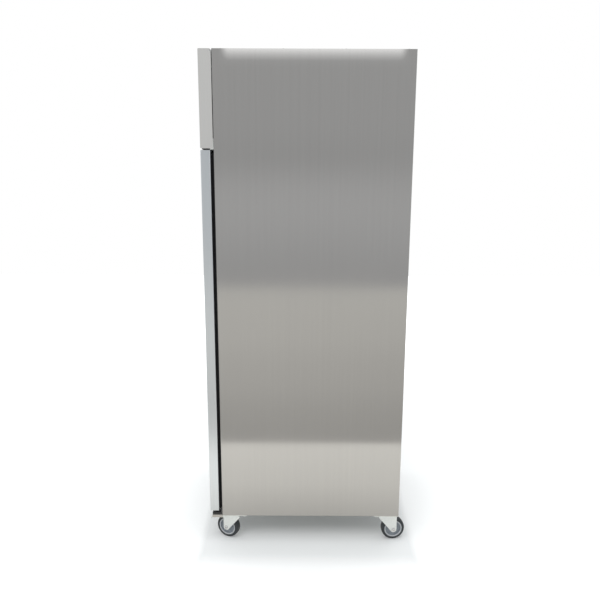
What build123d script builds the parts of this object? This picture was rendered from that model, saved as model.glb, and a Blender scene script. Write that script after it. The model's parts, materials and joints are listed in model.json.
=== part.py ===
from build123d import *
from math import cos, hypot, radians, sin, sqrt
import os

# Upright glass door refrigerator on four swivel casters, in millimetres.
# The front faces -Y and the door is hinged on the +X side. Z = 0 is the floor, X = 0 the middle
# of the width, and Y = 0 the middle of the footprint, which the rear wheels stretch backwards.

os.makedirs("parts", exist_ok=True)

# Overall size
WIDTH = 680.0
DEPTH = 800.0
HEIGHT = 2010.0
CASTER_HEIGHT = 128.0
FOOTPRINT_SHIFT = 12.0

# Cabinet shell
SKIN = 1.0
PANEL_BEND = 2.5
FLANGE = 22.0
WALL = 60.0
MACHINE_HEIGHT = 335.0
FRAME_LIP = 6.0
BASE_PAN = 2.0
DECK = 1.5
GRILLE_SLOT = 7.0
GRILLE_PITCH = 18.0

# Door
DOOR = 37.0
DOOR_ROUND = 2.0
GASKET = 13.0
GASKET_WIDTH = 18.0
DOOR_BOTTOM = 151.0
STILE = 60.0
GLASS = 4.0
GLASS_GAP = 16.0
GLASS_BITE = 12.0
GLASS_LIP = 6.0
SPACER = 8.0
GROOVE_WIDTH = 20.0
GROOVE_DEPTH = 18.0
HINGE_INSET = 14.0
HINGE_SETBACK = 23.0
PIN_R = 4.0
AXLE_SIDES = 12
BUSH_SIDES = 20
BUSH_R = 7.0
BUSH_COLLAR = 2.0
BUSH_DEPTH = 20.0
RUNNING = 0.05
SEAT = 0.02
CLEAR = 0.3

# Fascia
FASCIA_HEIGHT = 355.0
DOOR_GAP = 6.5
FASCIA_SHEET = 1.2
FASCIA_BACK_GAP = 2.0
FASCIA_RETURN = 30.0
FASCIA_PIN_R = 2.5
FASCIA_PIN_DROP = 7.0

# Casters
WHEEL_R = 50.0
WHEEL_WIDTH = 32.0
CORE_R = 38.0
AXLE_R = 4.0
TRAIL = 35.0
PLATE_X = 85.0
PLATE_Y = 105.0
PLATE = 3.0
RACE_R = 26.0
KING_R = 6.0
LEG = 3.0
LEG_GAP = 4.0
FRONT_YAW = 24.0
REAR_YAW = 6.0

# Shelves and racking
SHELF_COUNT = 3
SHELF_SIDE_GAP = 3.0
SHELF_OVERHANG = 6.0
SHELF_PITCH = 330.0
SHELF_FIRST = 330.0
ROD = 8.0
WIRE = 4.0
WIRE_COUNT = 12
POST = 22.0
POST_DEPTH = 12.0
POST_SETBACK = 70.0
POST_FOOT = 20.0
POST_HEAD_ROOM = 107.0
SLOT_WIDTH = 8.0
RUNNER_LEG = 14.0
RUNNER = 1.5

# Cooling unit
FAN_R = 88.0
FAN_RING = 95.0
COIL_WIDTH = 270.0
COIL_HEIGHT = 250.0
COIL_DEPTH = 44.0
FIN = 1.0
FIN_PITCH = 13.5
COMPRESSOR_R = 78.0
COMPRESSOR_HEIGHT = 165.0
PIPE_R = 5.0
EVAPORATOR_SIDE_GAP = 40.0
EVAPORATOR_DEPTH = 300.0
EVAPORATOR_HEIGHT = 150.0
EVAPORATOR_FAN_R = 58.0
BLADE = 1.5
BLADE_PITCH = 28.0

# Planes and levels that follow
x_side = WIDTH / 2
y_front = -DEPTH / 2 - FOOTPRINT_SHIFT
y_door_back = y_front + DOOR
y_cab = y_door_back + GASKET
y_back = y_front + DEPTH
z_base = CASTER_HEIGHT
x_in = x_side - WALL
y_in = y_back - WALL
y_middle = (y_cab + y_back) / 2
z_floor = z_base + WALL
z_deck = HEIGHT - MACHINE_HEIGHT
z_ceiling = z_deck - WALL
z_fascia = HEIGHT - FASCIA_HEIGHT
z_door_top = z_fascia - DOOR_GAP
x_pin = x_side - HINGE_INSET
y_pin = y_front + HINGE_SETBACK


def block(x, y, z, mode=Mode.ADD):
    """A rectangular block between two limits on each axis, in the part being built."""
    with Locations(((x[0] + x[1]) / 2, (y[0] + y[1]) / 2, (z[0] + z[1]) / 2)):
        return Box(x[1] - x[0], y[1] - y[0], z[1] - z[0], mode=mode)


def save(part, name):
    """Label one finished piece and write it."""
    part.label = name
    export_step(part, f"parts/{name}.step")


# Side panels: one folded sheet each, with a flange turned in at the front
for side, name in ((1, "side_panel_right"), (-1, "side_panel_left")):
    with BuildPart() as side_panel:
        with BuildSketch(Plane.XY.offset(z_base)):
            with BuildLine():
                FilletPolyline(
                    (side * (x_side - FLANGE), y_cab),
                    (side * x_side, y_cab),
                    (side * x_side, y_back),
                    radius=PANEL_BEND,
                )
                offset(amount=SKIN, side=Side.LEFT if side > 0 else Side.RIGHT)
            make_face()
        extrude(amount=HEIGHT - z_base)
    save(side_panel.part, name)

# Back panel, between the side panels, up to the machine deck
with BuildPart() as back_panel:
    with BuildSketch(Plane.XZ.offset(-y_back)):
        with Locations((0, (z_base + z_deck) / 2)):
            Rectangle(2 * (x_side - SKIN), z_deck - z_base)
    extrude(amount=SKIN)
save(back_panel.part, "back_panel")

# Flat sheets lie between the side panels, behind the bend of their flanges
y_sheet = (y_cab + PANEL_BEND + y_back - SKIN) / 2
sheet_depth = y_back - SKIN - y_cab - PANEL_BEND

# Base pan under the insulation, where the casters bolt on
with BuildPart() as base_pan:
    with BuildSketch(Plane.XY.offset(z_base)):
        with Locations((0, y_sheet)):
            Rectangle(2 * (x_side - SKIN), sheet_depth)
    extrude(amount=BASE_PAN)
save(base_pan.part, "base_pan")

# Front breaker frame round the chamber mouth, which the door gasket seats on
x_flange = x_side - FLANGE
with BuildPart() as front_frame:
    with BuildSketch(Plane.XZ.offset(-y_cab)):
        with Locations((0, (z_base + BASE_PAN + z_deck) / 2)):
            Rectangle(2 * x_flange, z_deck - z_base - BASE_PAN)
        with Locations((0, (z_floor + z_ceiling) / 2)):
            Rectangle(2 * x_in, z_ceiling - z_floor, mode=Mode.SUBTRACT)
    extrude(amount=-FRAME_LIP)
save(front_frame.part, "front_frame")

# Inner liner: a five-walled tub, open to the front
with BuildPart() as inner_liner:
    block((-x_in - SKIN, x_in + SKIN), (y_cab + FRAME_LIP, y_in + SKIN), (z_floor - SKIN, z_ceiling + SKIN))
    chamber_mouth = inner_liner.faces().sort_by(Axis.Y)[0]
    offset(amount=-SKIN, openings=chamber_mouth)
save(inner_liner.part, "inner_liner")

# Foamed insulation between the skins and the liner
with BuildPart() as insulation:
    block((-x_side + SKIN, x_side - SKIN), (y_cab + FRAME_LIP, y_back - SKIN), (z_base + BASE_PAN, z_deck))
    block(
        (-x_in - SKIN, x_in + SKIN), (y_cab, y_in + SKIN), (z_floor - SKIN, z_ceiling + SKIN),
        mode=Mode.SUBTRACT,
    )
save(insulation.part, "insulation")

# Machine deck: the pan above the insulation that carries the cooling unit
z_machine = z_deck + DECK
with BuildPart() as machine_deck:
    with BuildSketch(Plane.XY.offset(z_deck)):
        with Locations((0, y_sheet)):
            Rectangle(2 * (x_side - SKIN), sheet_depth)
    extrude(amount=DECK)
save(machine_deck.part, "machine_deck")

# Top cover, let in between the side panels, with two rows of vent slots over the unit
COVER_DROP = 12.0
VENT_LENGTH = 120.0
with BuildPart() as top_cover:
    with BuildSketch(Plane.XY.offset(HEIGHT - SKIN)):
        with Locations((0, y_sheet)):
            Rectangle(2 * (x_side - SKIN), sheet_depth)
        with Locations((0, y_back - 2 * VENT_LENGTH)):
            with GridLocations(VENT_LENGTH * 1.3, GRILLE_PITCH, 2, 6):
                Rectangle(VENT_LENGTH, GRILLE_SLOT, mode=Mode.SUBTRACT)
    extrude(amount=SKIN)
    for x_edge in (-x_side + SKIN, x_side - 2 * SKIN):
        block((x_edge, x_edge + SKIN), (y_cab + PANEL_BEND, y_back - SKIN), (HEIGHT - COVER_DROP, HEIGHT - SKIN))
save(top_cover.part, "top_cover")

# Rear grille across the back of the machine compartment
INLET_INSET = 90.0
INLET_RISE = 60.0
INLET_WIDTH = 31.0
INLET_HEIGHT = 24.0
GRILLE_SHIFT = 40.0
x_inlet = INLET_INSET - x_side
z_inlet = z_machine + INLET_RISE
with BuildPart() as rear_grille:
    with BuildSketch(Plane.XZ.offset(-y_back)):
        with Locations((0, (z_deck + HEIGHT) / 2)):
            Rectangle(2 * (x_side - SKIN), HEIGHT - z_deck)
        with Locations((GRILLE_SHIFT, (z_deck + HEIGHT) / 2)):
            with GridLocations(VENT_LENGTH * 1.3, GRILLE_PITCH, 3, 7):
                Rectangle(VENT_LENGTH, GRILLE_SLOT, mode=Mode.SUBTRACT)
        with Locations((x_inlet, z_inlet)):
            Rectangle(INLET_WIDTH, INLET_HEIGHT, mode=Mode.SUBTRACT)
    extrude(amount=SKIN)
save(rear_grille.part, "rear_grille")

# Mains inlet: a flanged three-pin socket clipped into the grille
INLET_FLANGE = 2.5
INLET_EAR = 6.0
INLET_LIP = 4.0
INLET_WALL = 3.5
INLET_BODY = 26.0
INLET_CAVITY = 17.0
INLET_PIN = 10.0
INLET_PIN_PITCH = 7.0
INLET_PIN_WIDTH = 2.0
INLET_PIN_HEIGHT = 4.5
with BuildPart() as mains_inlet:
    with BuildSketch(Plane.XZ.offset(-y_back)):
        with Locations((x_inlet, z_inlet)):
            Rectangle(INLET_WIDTH + 2 * INLET_EAR, INLET_HEIGHT + 2 * INLET_LIP)
    extrude(amount=-INLET_FLANGE)
    with BuildSketch(Plane.XZ.offset(-y_back)):
        with Locations((x_inlet, z_inlet)):
            Rectangle(INLET_WIDTH - 2 * SEAT, INLET_HEIGHT - 2 * SEAT)
    extrude(amount=INLET_BODY)
    with BuildSketch(Plane.XZ.offset(-y_back - INLET_FLANGE)):
        with Locations((x_inlet, z_inlet)):
            Rectangle(INLET_WIDTH - 2 * INLET_WALL, INLET_HEIGHT - 2 * INLET_WALL)
    extrude(amount=INLET_CAVITY, mode=Mode.SUBTRACT)
    with BuildSketch(Plane.XZ.offset(-y_back - INLET_FLANGE + INLET_CAVITY)):
        with Locations(
            (x_inlet - INLET_PIN_PITCH, z_inlet - 2),
            (x_inlet, z_inlet + 3),
            (x_inlet + INLET_PIN_PITCH, z_inlet - 2),
        ):
            Rectangle(INLET_PIN_WIDTH, INLET_PIN_HEIGHT)
    extrude(amount=-INLET_PIN)
save(mains_inlet.part, "mains_inlet")

# Machine front frame: an angle across the top, and two ears whose pins carry the fascia
BEAM_HEIGHT = 26.0
BEAM_FLANGE = 18.0
BEAM_SHEET = 2.0
EAR_R = 5.0
EAR_HEIGHT = 18.0
y_fascia_back = y_cab - FASCIA_BACK_GAP
y_fascia_pin = y_fascia_back - EAR_R + 0.5
z_fascia_pin = HEIGHT - FASCIA_PIN_DROP
z_beam_top = HEIGHT - SKIN
with BuildPart() as machine_front_frame:
    with BuildSketch(Plane.YZ.offset(-x_flange)):
        with BuildLine():
            Polyline(
                (y_cab, z_beam_top - BEAM_HEIGHT),
                (y_cab, z_beam_top),
                (y_cab + BEAM_FLANGE, z_beam_top),
                (y_cab + BEAM_FLANGE, z_beam_top - BEAM_SHEET),
                (y_cab + BEAM_SHEET, z_beam_top - BEAM_SHEET),
                (y_cab + BEAM_SHEET, z_beam_top - BEAM_HEIGHT),
                close=True,
            )
        make_face()
    extrude(amount=2 * x_flange)
    for side in (1, -1):
        with BuildSketch(Plane.YZ.offset(side * x_flange)):
            with BuildLine():
                Polyline(
                    (y_cab, z_fascia_pin + EAR_R),
                    (y_fascia_pin - 2, z_fascia_pin + EAR_R),
                    (y_fascia_pin - EAR_R, z_fascia_pin + 2),
                    (y_fascia_pin - EAR_R, z_fascia_pin - 2),
                    (y_cab, z_fascia_pin + EAR_R - EAR_HEIGHT),
                    close=True,
                )
            make_face()
        extrude(amount=-side * BEAM_SHEET)
        with BuildSketch(Plane.YZ.offset(side * x_flange)):
            with Locations((y_fascia_pin, z_fascia_pin)):
                RegularPolygon(FASCIA_PIN_R, AXLE_SIDES)
        extrude(amount=side * (FLANGE - SKIN / 2))
save(machine_front_frame.part, "machine_front_frame")

# Compressor: a welded shell of two bowls on four rubber-footed legs
COMPRESSOR_INSET = 170.0
COMPRESSOR_SETBACK = 47.0
FOOT = 18.0
FOOT_R = 9.0
FOOT_SIDES = 8
COMPRESSOR_BASE = 3.0
x_compressor = x_side - COMPRESSOR_INSET
y_compressor = y_middle + COMPRESSOR_SETBACK
z_compressor = z_machine + FOOT
SHELL_SIDES = 24
BOWL = 32.0
with BuildPart() as compressor:
    with BuildSketch(Plane.XY.offset(z_compressor)):
        with Locations((x_compressor, y_compressor)):
            RegularPolygon(COMPRESSOR_R, SHELL_SIDES)
    extrude(amount=COMPRESSOR_HEIGHT)
    chamfer(compressor.faces().filter_by(Axis.Z).edges(), BOWL)
    with BuildSketch(Plane.XY.offset(z_compressor)):
        with Locations((x_compressor, y_compressor)):
            Rectangle(2.3 * COMPRESSOR_R, 1.5 * COMPRESSOR_R)
    extrude(amount=COMPRESSOR_BASE)
    with BuildSketch(Plane.XY.offset(z_machine)):
        with Locations((x_compressor, y_compressor)):
            with GridLocations(2 * COMPRESSOR_R, 1.2 * COMPRESSOR_R, 2, 2):
                RegularPolygon(FOOT_R, FOOT_SIDES)
    extrude(amount=FOOT)
save(compressor.part, "compressor")

# Condenser coil: a comb of fins between two end plates
COIL_INSET = 230.0
COIL_SETBACK = 34.0
COIL_BACK = 8.0
x_coil = COIL_INSET - x_side
y_coil = y_cab + COIL_SETBACK
fin_count = int(COIL_WIDTH / FIN_PITCH)
with BuildPart() as condenser_coil:
    with BuildSketch(Plane.XY.offset(z_machine)):
        with Locations((x_coil, y_coil + COIL_DEPTH - COIL_BACK / 2)):
            Rectangle(COIL_WIDTH, COIL_BACK)
        with Locations((x_coil, y_coil + COIL_DEPTH / 2)):
            with GridLocations(FIN_PITCH, 1, fin_count, 1):
                Rectangle(FIN, COIL_DEPTH)
        for x_end in (x_coil - COIL_WIDTH / 2, x_coil + COIL_WIDTH / 2):
            with Locations((x_end, y_coil + COIL_DEPTH / 2)):
                Rectangle(2 * FIN, COIL_DEPTH)
    extrude(amount=COIL_HEIGHT)
save(condenser_coil.part, "condenser_coil")

# Condenser shroud: a ring plate behind the coil, and a motor on three arms
SHROUD_DEPTH = 40.0
SHROUD_WALL = 1.5
RING_SIDES = 36
y_shroud = y_coil + COIL_DEPTH
z_fan = z_machine + COIL_HEIGHT / 2
MOTOR_R = 30.0
MOTOR_LENGTH = 45.0
MOTOR_SIDES = 16
MOTOR_GAP = 8.0
ARM_SHEET = 3.0
ARM_BAR = 10.0
ARM_POST = 8.0
ARM_REACH = 16.0
SHAFT_R = 3.0
SHAFT_END = 2.0
y_motor = y_shroud + SHROUD_DEPTH + MOTOR_GAP
HUB_R_CONDENSER = 24.0
HUB_LENGTH = 24.0
BLADES = 5
BLADE_WIDTH = 62.0
y_fan = y_motor - CLEAR - BLADE_WIDTH / 2 * sin(radians(BLADE_PITCH)) - BLADE
with BuildPart() as condenser_shroud:
    with BuildSketch(Plane.XZ.offset(-y_shroud)):
        with Locations((x_coil, z_fan)):
            Rectangle(COIL_WIDTH, COIL_HEIGHT)
            Rectangle(COIL_WIDTH - 2 * SHROUD_WALL, COIL_HEIGHT - 2 * SHROUD_WALL, mode=Mode.SUBTRACT)
    extrude(amount=-SHROUD_DEPTH)
    with BuildSketch(Plane.XZ.offset(-y_shroud - SHROUD_DEPTH + SHROUD_WALL)):
        with Locations((x_coil, z_fan)):
            Rectangle(COIL_WIDTH, COIL_HEIGHT)
            RegularPolygon(FAN_RING, RING_SIDES, mode=Mode.SUBTRACT)
    extrude(amount=-SHROUD_WALL)
    with BuildSketch(Plane.XZ.offset(-y_motor)):
        with Locations((x_coil, z_fan)):
            with PolarLocations((FAN_RING + ARM_REACH) / 2, 3, start_angle=90):
                Rectangle(FAN_RING + ARM_REACH, ARM_BAR)
    extrude(amount=-ARM_SHEET)
    with BuildSketch(Plane.XZ.offset(-y_motor)):
        with Locations((x_coil, z_fan)):
            RegularPolygon(MOTOR_R, MOTOR_SIDES)
    extrude(amount=-MOTOR_LENGTH)
    with BuildSketch(Plane.XZ.offset(-y_shroud - SHROUD_DEPTH)):
        with Locations((x_coil, z_fan)):
            with PolarLocations(FAN_RING + ARM_REACH - 5, 3, start_angle=90):
                Rectangle(ARM_POST, ARM_BAR)
    extrude(amount=-(y_motor - y_shroud - SHROUD_DEPTH))
    with BuildSketch(Plane.XZ.offset(-y_motor)):
        with Locations((x_coil, z_fan)):
            RegularPolygon(SHAFT_R, AXLE_SIDES)
    extrude(amount=y_motor - y_fan + HUB_LENGTH / 2 + SHAFT_END)
save(condenser_shroud.part, "condenser_shroud")


def fan(centre, hub_r, hub_length, tip_r, blades, blade_width):
    """An axial fan on a hub bored for its shaft; its axis lies along Y."""
    with BuildPart() as rotor:
        with BuildSketch(Plane(origin=centre, x_dir=(1, 0, 0), z_dir=(0, -1, 0))):
            RegularPolygon(hub_r, 4 * blades)
            RegularPolygon(SHAFT_R + RUNNING, AXLE_SIDES, major_radius=False, mode=Mode.SUBTRACT)
        extrude(amount=hub_length / 2, both=True)
        for n in range(blades):
            turn = radians(360 * n / blades)
            out = Vector(cos(turn), 0, sin(turn))
            around = Vector(-sin(turn), 0, cos(turn))
            chord = around * cos(radians(BLADE_PITCH)) + Vector(0, sin(radians(BLADE_PITCH)), 0)
            with BuildSketch(Plane(origin=centre, x_dir=out, z_dir=out.cross(chord))):
                with BuildLine():
                    Polyline(
                        (hub_r * 0.7, -blade_width * 0.3),
                        (tip_r * 0.8, -blade_width * 0.5),
                        (tip_r * 0.96, -blade_width * 0.25),
                        (tip_r, blade_width * 0.1),
                        (tip_r * 0.8, blade_width * 0.5),
                        (hub_r * 0.7, blade_width * 0.3),
                        close=True,
                    )
                make_face()
            extrude(amount=BLADE / 2, both=True)
    return rotor.part


condenser_fan = fan((x_coil, y_fan, z_fan), HUB_R_CONDENSER, HUB_LENGTH, FAN_R, BLADES, BLADE_WIDTH)
save(condenser_fan, "condenser_fan")

# Refrigerant pipes: suction and discharge lines between the compressor and the coil
PIPE_SPREAD = 24.0
PIPE_SIDES = 8
x_shell = x_compressor - sqrt(COMPRESSOR_R**2 - (PIPE_SPREAD - PIPE_R) ** 2) - CLEAR
x_coil_end = x_coil + COIL_WIDTH / 2 + FIN
with BuildPart() as refrigerant_pipes:
    for rise, reach, side in ((0.75, 34.0, 1), (0.4, 16.0, -1)):
        pipe_y = y_compressor + side * PIPE_SPREAD
        pipe_z = z_compressor + rise * COMPRESSOR_HEIGHT
        bend = reach * 0.4
        with BuildLine() as route:
            Polyline(
                (x_shell, pipe_y, pipe_z),
                (x_coil_end + reach + bend, pipe_y, pipe_z),
                (x_coil_end + reach, pipe_y - bend, pipe_z),
                (x_coil_end + reach, y_coil + COIL_DEPTH / 2 + bend, pipe_z),
                (x_coil_end + reach - bend, y_coil + COIL_DEPTH / 2, pipe_z),
                (x_coil_end, y_coil + COIL_DEPTH / 2, pipe_z),
            )
        with BuildSketch(Plane(origin=(x_shell, pipe_y, pipe_z), z_dir=(-1, 0, 0))):
            RegularPolygon(PIPE_R, PIPE_SIDES)
        sweep(path=route.line, transition=Transition.RIGHT)
save(refrigerant_pipes.part, "refrigerant_pipes")

# Condensate pan: a shallow open tray on the deck, behind the coil
PAN_WIDTH = 260.0
PAN_DEPTH = 150.0
PAN_HEIGHT = 45.0
PAN_WALL = 2.0
PAN_SETBACK = 27.0
y_pan = y_middle + PAN_SETBACK
with BuildPart() as condensate_pan:
    block(
        (x_coil - PAN_WIDTH / 2, x_coil + PAN_WIDTH / 2),
        (y_pan, y_pan + PAN_DEPTH),
        (z_machine, z_machine + PAN_HEIGHT),
    )
    offset(amount=-PAN_WALL, openings=condensate_pan.faces().sort_by(Axis.Z)[-1])
save(condensate_pan.part, "condensate_pan")

# Electrical box behind the inlet
BOX_WIDTH = 120.0
BOX_DEPTH = 110.0
BOX_HEIGHT = 110.0
BOX_ROUND = 6.0
with BuildPart() as electrical_box:
    block(
        (x_inlet - BOX_WIDTH / 2, x_inlet + BOX_WIDTH / 2),
        (y_back - INLET_BODY - BOX_DEPTH, y_back - INLET_BODY),
        (z_machine, z_machine + BOX_HEIGHT),
    )
    fillet(electrical_box.edges().filter_by(Axis.Z), BOX_ROUND)
save(electrical_box.part, "electrical_box")

# Evaporator cover: a folded hood under the ceiling, with the fan mouth in its front
y_evaporator = y_in - EVAPORATOR_DEPTH
z_evaporator = z_ceiling - EVAPORATOR_HEIGHT
HOOD = 1.5
HOOD_BACK_GAP = 40.0
HOOD_BEND = 12.0
MOUTH_GAP = 5.0
evaporator_width = 2 * (x_in - EVAPORATOR_SIDE_GAP)
z_evaporator_fan = z_evaporator + EVAPORATOR_HEIGHT / 2
with BuildPart() as evaporator_cover:
    with BuildSketch(Plane.YZ.offset(-evaporator_width / 2)):
        with BuildLine():
            Polyline(
                (y_evaporator, z_ceiling),
                (y_evaporator, z_evaporator),
                (y_in - HOOD_BACK_GAP, z_evaporator),
                (y_in - HOOD_BACK_GAP, z_ceiling),
                close=True,
            )
        make_face()
    extrude(amount=evaporator_width)
    fillet(evaporator_cover.edges().filter_by(Axis.X).sort_by(Axis.Z)[:2].sort_by(Axis.Y)[0], HOOD_BEND)
    hood_open = evaporator_cover.faces().sort_by(Axis.Z)[-1:] + evaporator_cover.faces().sort_by(Axis.Y)[-1:]
    offset(amount=-HOOD, openings=hood_open)
    with BuildSketch(Plane.XZ.offset(-y_evaporator)):
        with Locations((0, z_evaporator_fan)):
            RegularPolygon(EVAPORATOR_FAN_R + MOUTH_GAP, RING_SIDES)
    extrude(amount=-2 * HOOD, mode=Mode.SUBTRACT)
save(evaporator_cover.part, "evaporator_cover")

# Evaporator coil: fins hung from the ceiling inside the hood
EVAPORATOR_COIL_DEPTH = 120.0
EVAPORATOR_COIL_GAP = 20.0
HANGER_PLATE = 6.0
WIDE_PITCH = 2 * FIN_PITCH
evaporator_fins = int(evaporator_width / WIDE_PITCH) - 3
with BuildPart() as evaporator_coil:
    y_fins = y_in - HOOD_BACK_GAP - EVAPORATOR_COIL_DEPTH / 2
    with BuildSketch(Plane.XY.offset(z_ceiling)):
        with Locations((0, y_fins)):
            with GridLocations(WIDE_PITCH, 1, evaporator_fins, 1):
                Rectangle(FIN, EVAPORATOR_COIL_DEPTH)
    extrude(amount=-(EVAPORATOR_HEIGHT - EVAPORATOR_COIL_GAP))
    with BuildSketch(Plane.XY.offset(z_ceiling)):
        with Locations((0, y_fins)):
            Rectangle((evaporator_fins - 1) * WIDE_PITCH + FIN, EVAPORATOR_COIL_DEPTH)
    extrude(amount=-HANGER_PLATE)
save(evaporator_coil.part, "evaporator_coil")

# Evaporator fan motor, hung from the ceiling by its strap
SMALL_MOTOR_SETBACK = 36.0
SMALL_MOTOR_R = 24.0
SMALL_MOTOR_LENGTH = 34.0
STRAP_WIDTH = 32.0
STRAP = 2.0
STRAP_SETBACK = 8.0
SMALL_SHAFT = 20.0
SMALL_HUB_R = 20.0
SMALL_HUB_LENGTH = 16.0
SMALL_BLADE_WIDTH = 34.0
y_evaporator_motor = y_evaporator + SMALL_MOTOR_SETBACK
y_strap = y_evaporator_motor + STRAP_SETBACK
with BuildPart() as evaporator_fan_motor:
    with BuildSketch(Plane.XZ.offset(-y_evaporator_motor)):
        with Locations((0, z_evaporator_fan)):
            RegularPolygon(SMALL_MOTOR_R, MOTOR_SIDES)
    extrude(amount=-SMALL_MOTOR_LENGTH)
    block((-STRAP_WIDTH / 2, STRAP_WIDTH / 2), (y_strap, y_strap + STRAP), (z_evaporator_fan, z_ceiling))
    with BuildSketch(Plane.XZ.offset(-y_evaporator_motor)):
        with Locations((0, z_evaporator_fan)):
            RegularPolygon(SHAFT_R, AXLE_SIDES)
    extrude(amount=SMALL_SHAFT)
save(evaporator_fan_motor.part, "evaporator_fan_motor")
fan_centre = (0, y_evaporator_motor - CLEAR - SMALL_HUB_LENGTH / 2, z_evaporator_fan)
evaporator_fan = fan(fan_centre, SMALL_HUB_R, SMALL_HUB_LENGTH, EVAPORATOR_FAN_R, BLADES, SMALL_BLADE_WIDTH)
save(evaporator_fan, "evaporator_fan")

# LED lamp: a long batten on the ceiling, close behind the chamber mouth
LAMP_END_GAP = 60.0
LAMP_SETBACK = 20.0
LAMP_DEPTH = 32.0
LAMP_DROP = 20.0
x_lamp = x_in - LAMP_END_GAP
y_lamp = y_cab + LAMP_SETBACK
with BuildPart() as led_lamp:
    with BuildSketch(Plane.YZ.offset(-x_lamp)):
        with BuildLine():
            Polyline(
                (y_lamp, z_ceiling),
                (y_lamp + LAMP_DEPTH, z_ceiling),
                (y_lamp + LAMP_DEPTH - 6, z_ceiling - LAMP_DROP + 6),
                (y_lamp + 8, z_ceiling - LAMP_DROP),
                (y_lamp, z_ceiling - LAMP_DROP + 8),
                close=True,
            )
        make_face()
    extrude(amount=2 * x_lamp)
save(led_lamp.part, "led_lamp")

# Rack uprights: four posts against the side walls, with a slot ladder
y_post_front = y_cab + POST_SETBACK
y_post_back = y_in - POST_SETBACK
post_height = z_ceiling - POST_HEAD_ROOM - z_floor - POST_FOOT
shelf_levels = [z_floor + SHELF_FIRST + n * SHELF_PITCH for n in range(SHELF_COUNT)]
with BuildPart() as rack_uprights:
    for side in (1, -1):
        for y_post in (y_post_front, y_post_back):
            post_plane = Plane(
                origin=(side * x_in, y_post, z_floor + POST_FOOT), x_dir=(0, side, 0), z_dir=(side, 0, 0)
            )
            with BuildSketch(post_plane):
                with Locations((0, post_height / 2)):
                    Rectangle(POST, post_height)
            extrude(amount=-POST_DEPTH)
            for z_shelf in shelf_levels:
                with BuildSketch(post_plane.offset(-POST_DEPTH)):
                    with Locations((0, z_shelf - z_floor - POST_FOOT - RUNNER_LEG / 2)):
                        Rectangle(SLOT_WIDTH, RUNNER_LEG)
                extrude(amount=POST_DEPTH - RUNNER, mode=Mode.SUBTRACT)
save(rack_uprights.part, "rack_uprights")

# Shelf runners: one angle on each side under each shelf, hung on the posts
x_runner = x_in - POST_DEPTH
y_runner = y_post_front - POST
runner_length = y_post_back + POST - y_runner
with BuildPart() as shelf_runners:
    for side in (1, -1):
        for z_shelf in shelf_levels:
            with BuildSketch(Plane.XZ.offset(-y_runner)):
                with BuildLine():
                    Polyline(
                        (side * x_runner, z_shelf + RUNNER_LEG),
                        (side * x_runner, z_shelf - RUNNER),
                        (side * (x_runner - 2 * RUNNER_LEG), z_shelf - RUNNER),
                        (side * (x_runner - 2 * RUNNER_LEG), z_shelf),
                        (side * (x_runner - RUNNER), z_shelf),
                        (side * (x_runner - RUNNER), z_shelf + RUNNER_LEG),
                        close=True,
                    )
                make_face()
            extrude(amount=-runner_length)
save(shelf_runners.part, "shelf_runners")

# Wire shelves: a rod frame with wires let in between its ends, over two cross rods
shelf_names = ["shelf_lower", "shelf_middle", "shelf_upper"]
shelf_width = 2 * (x_runner - SHELF_SIDE_GAP)
shelf_depth = runner_length + SHELF_OVERHANG
for z_shelf, name in zip(shelf_levels, shelf_names):
    with BuildPart() as shelf:
        with BuildSketch(Plane.XY.offset(z_shelf)):
            with Locations((0, y_runner + shelf_depth / 2)):
                Rectangle(shelf_width, shelf_depth)
                Rectangle(shelf_width - 2 * ROD, shelf_depth - 2 * ROD, mode=Mode.SUBTRACT)
        extrude(amount=ROD)
        with BuildSketch(Plane.XY.offset(z_shelf)):
            with Locations((0, y_runner + shelf_depth / 2)):
                with GridLocations(1, shelf_depth / 3, 1, 2):
                    Rectangle(shelf_width - 2 * ROD, ROD)
        extrude(amount=ROD - WIRE)
        with BuildSketch(Plane.XY.offset(z_shelf + ROD - WIRE)):
            with Locations((0, y_runner + shelf_depth / 2)):
                with GridLocations((shelf_width - 2 * ROD) / (WIRE_COUNT + 1), 1, WIRE_COUNT, 1):
                    Rectangle(WIRE, shelf_depth - 2 * ROD)
        extrude(amount=WIRE)
    save(shelf.part, name)

# Lower hinge: a steel bracket bolted to the cabinet's front, with the pin that carries the door
BRACKET = 3.0
BRACKET_LENGTH = 78.0
BRACKET_SETBACK = 8.0
SKIRT = 12.0
BRACKET_FLANGE = 34.0
z_bracket = z_base + BRACKET
y_bracket = y_front + BRACKET_SETBACK
with BuildPart() as lower_hinge_bracket:
    with BuildSketch(Plane.YZ.offset(x_side - BRACKET_LENGTH)):
        with BuildLine():
            Polyline(
                (y_bracket, z_bracket - SKIRT),
                (y_bracket, z_bracket),
                (y_cab - BRACKET, z_bracket),
                (y_cab - BRACKET, z_bracket + BRACKET_FLANGE),
                (y_cab, z_bracket + BRACKET_FLANGE),
                (y_cab, z_base),
                (y_bracket + BRACKET, z_base),
                (y_bracket + BRACKET, z_bracket - SKIRT),
                close=True,
            )
        make_face()
    extrude(amount=BRACKET_LENGTH)
    with BuildSketch(Plane.YZ.offset(x_side)):
        with Locations(((y_bracket + y_cab) / 2, z_bracket - SKIRT / 2)):
            Rectangle(y_cab - y_bracket, SKIRT)
    extrude(amount=-BRACKET)
    with BuildSketch(Plane.XY.offset(z_base)):
        with Locations((x_pin, y_pin)):
            Circle(PIN_R)
    extrude(amount=DOOR_BOTTOM + BUSH_DEPTH - z_base)
save(lower_hinge_bracket.part, "lower_hinge_bracket")

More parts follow.
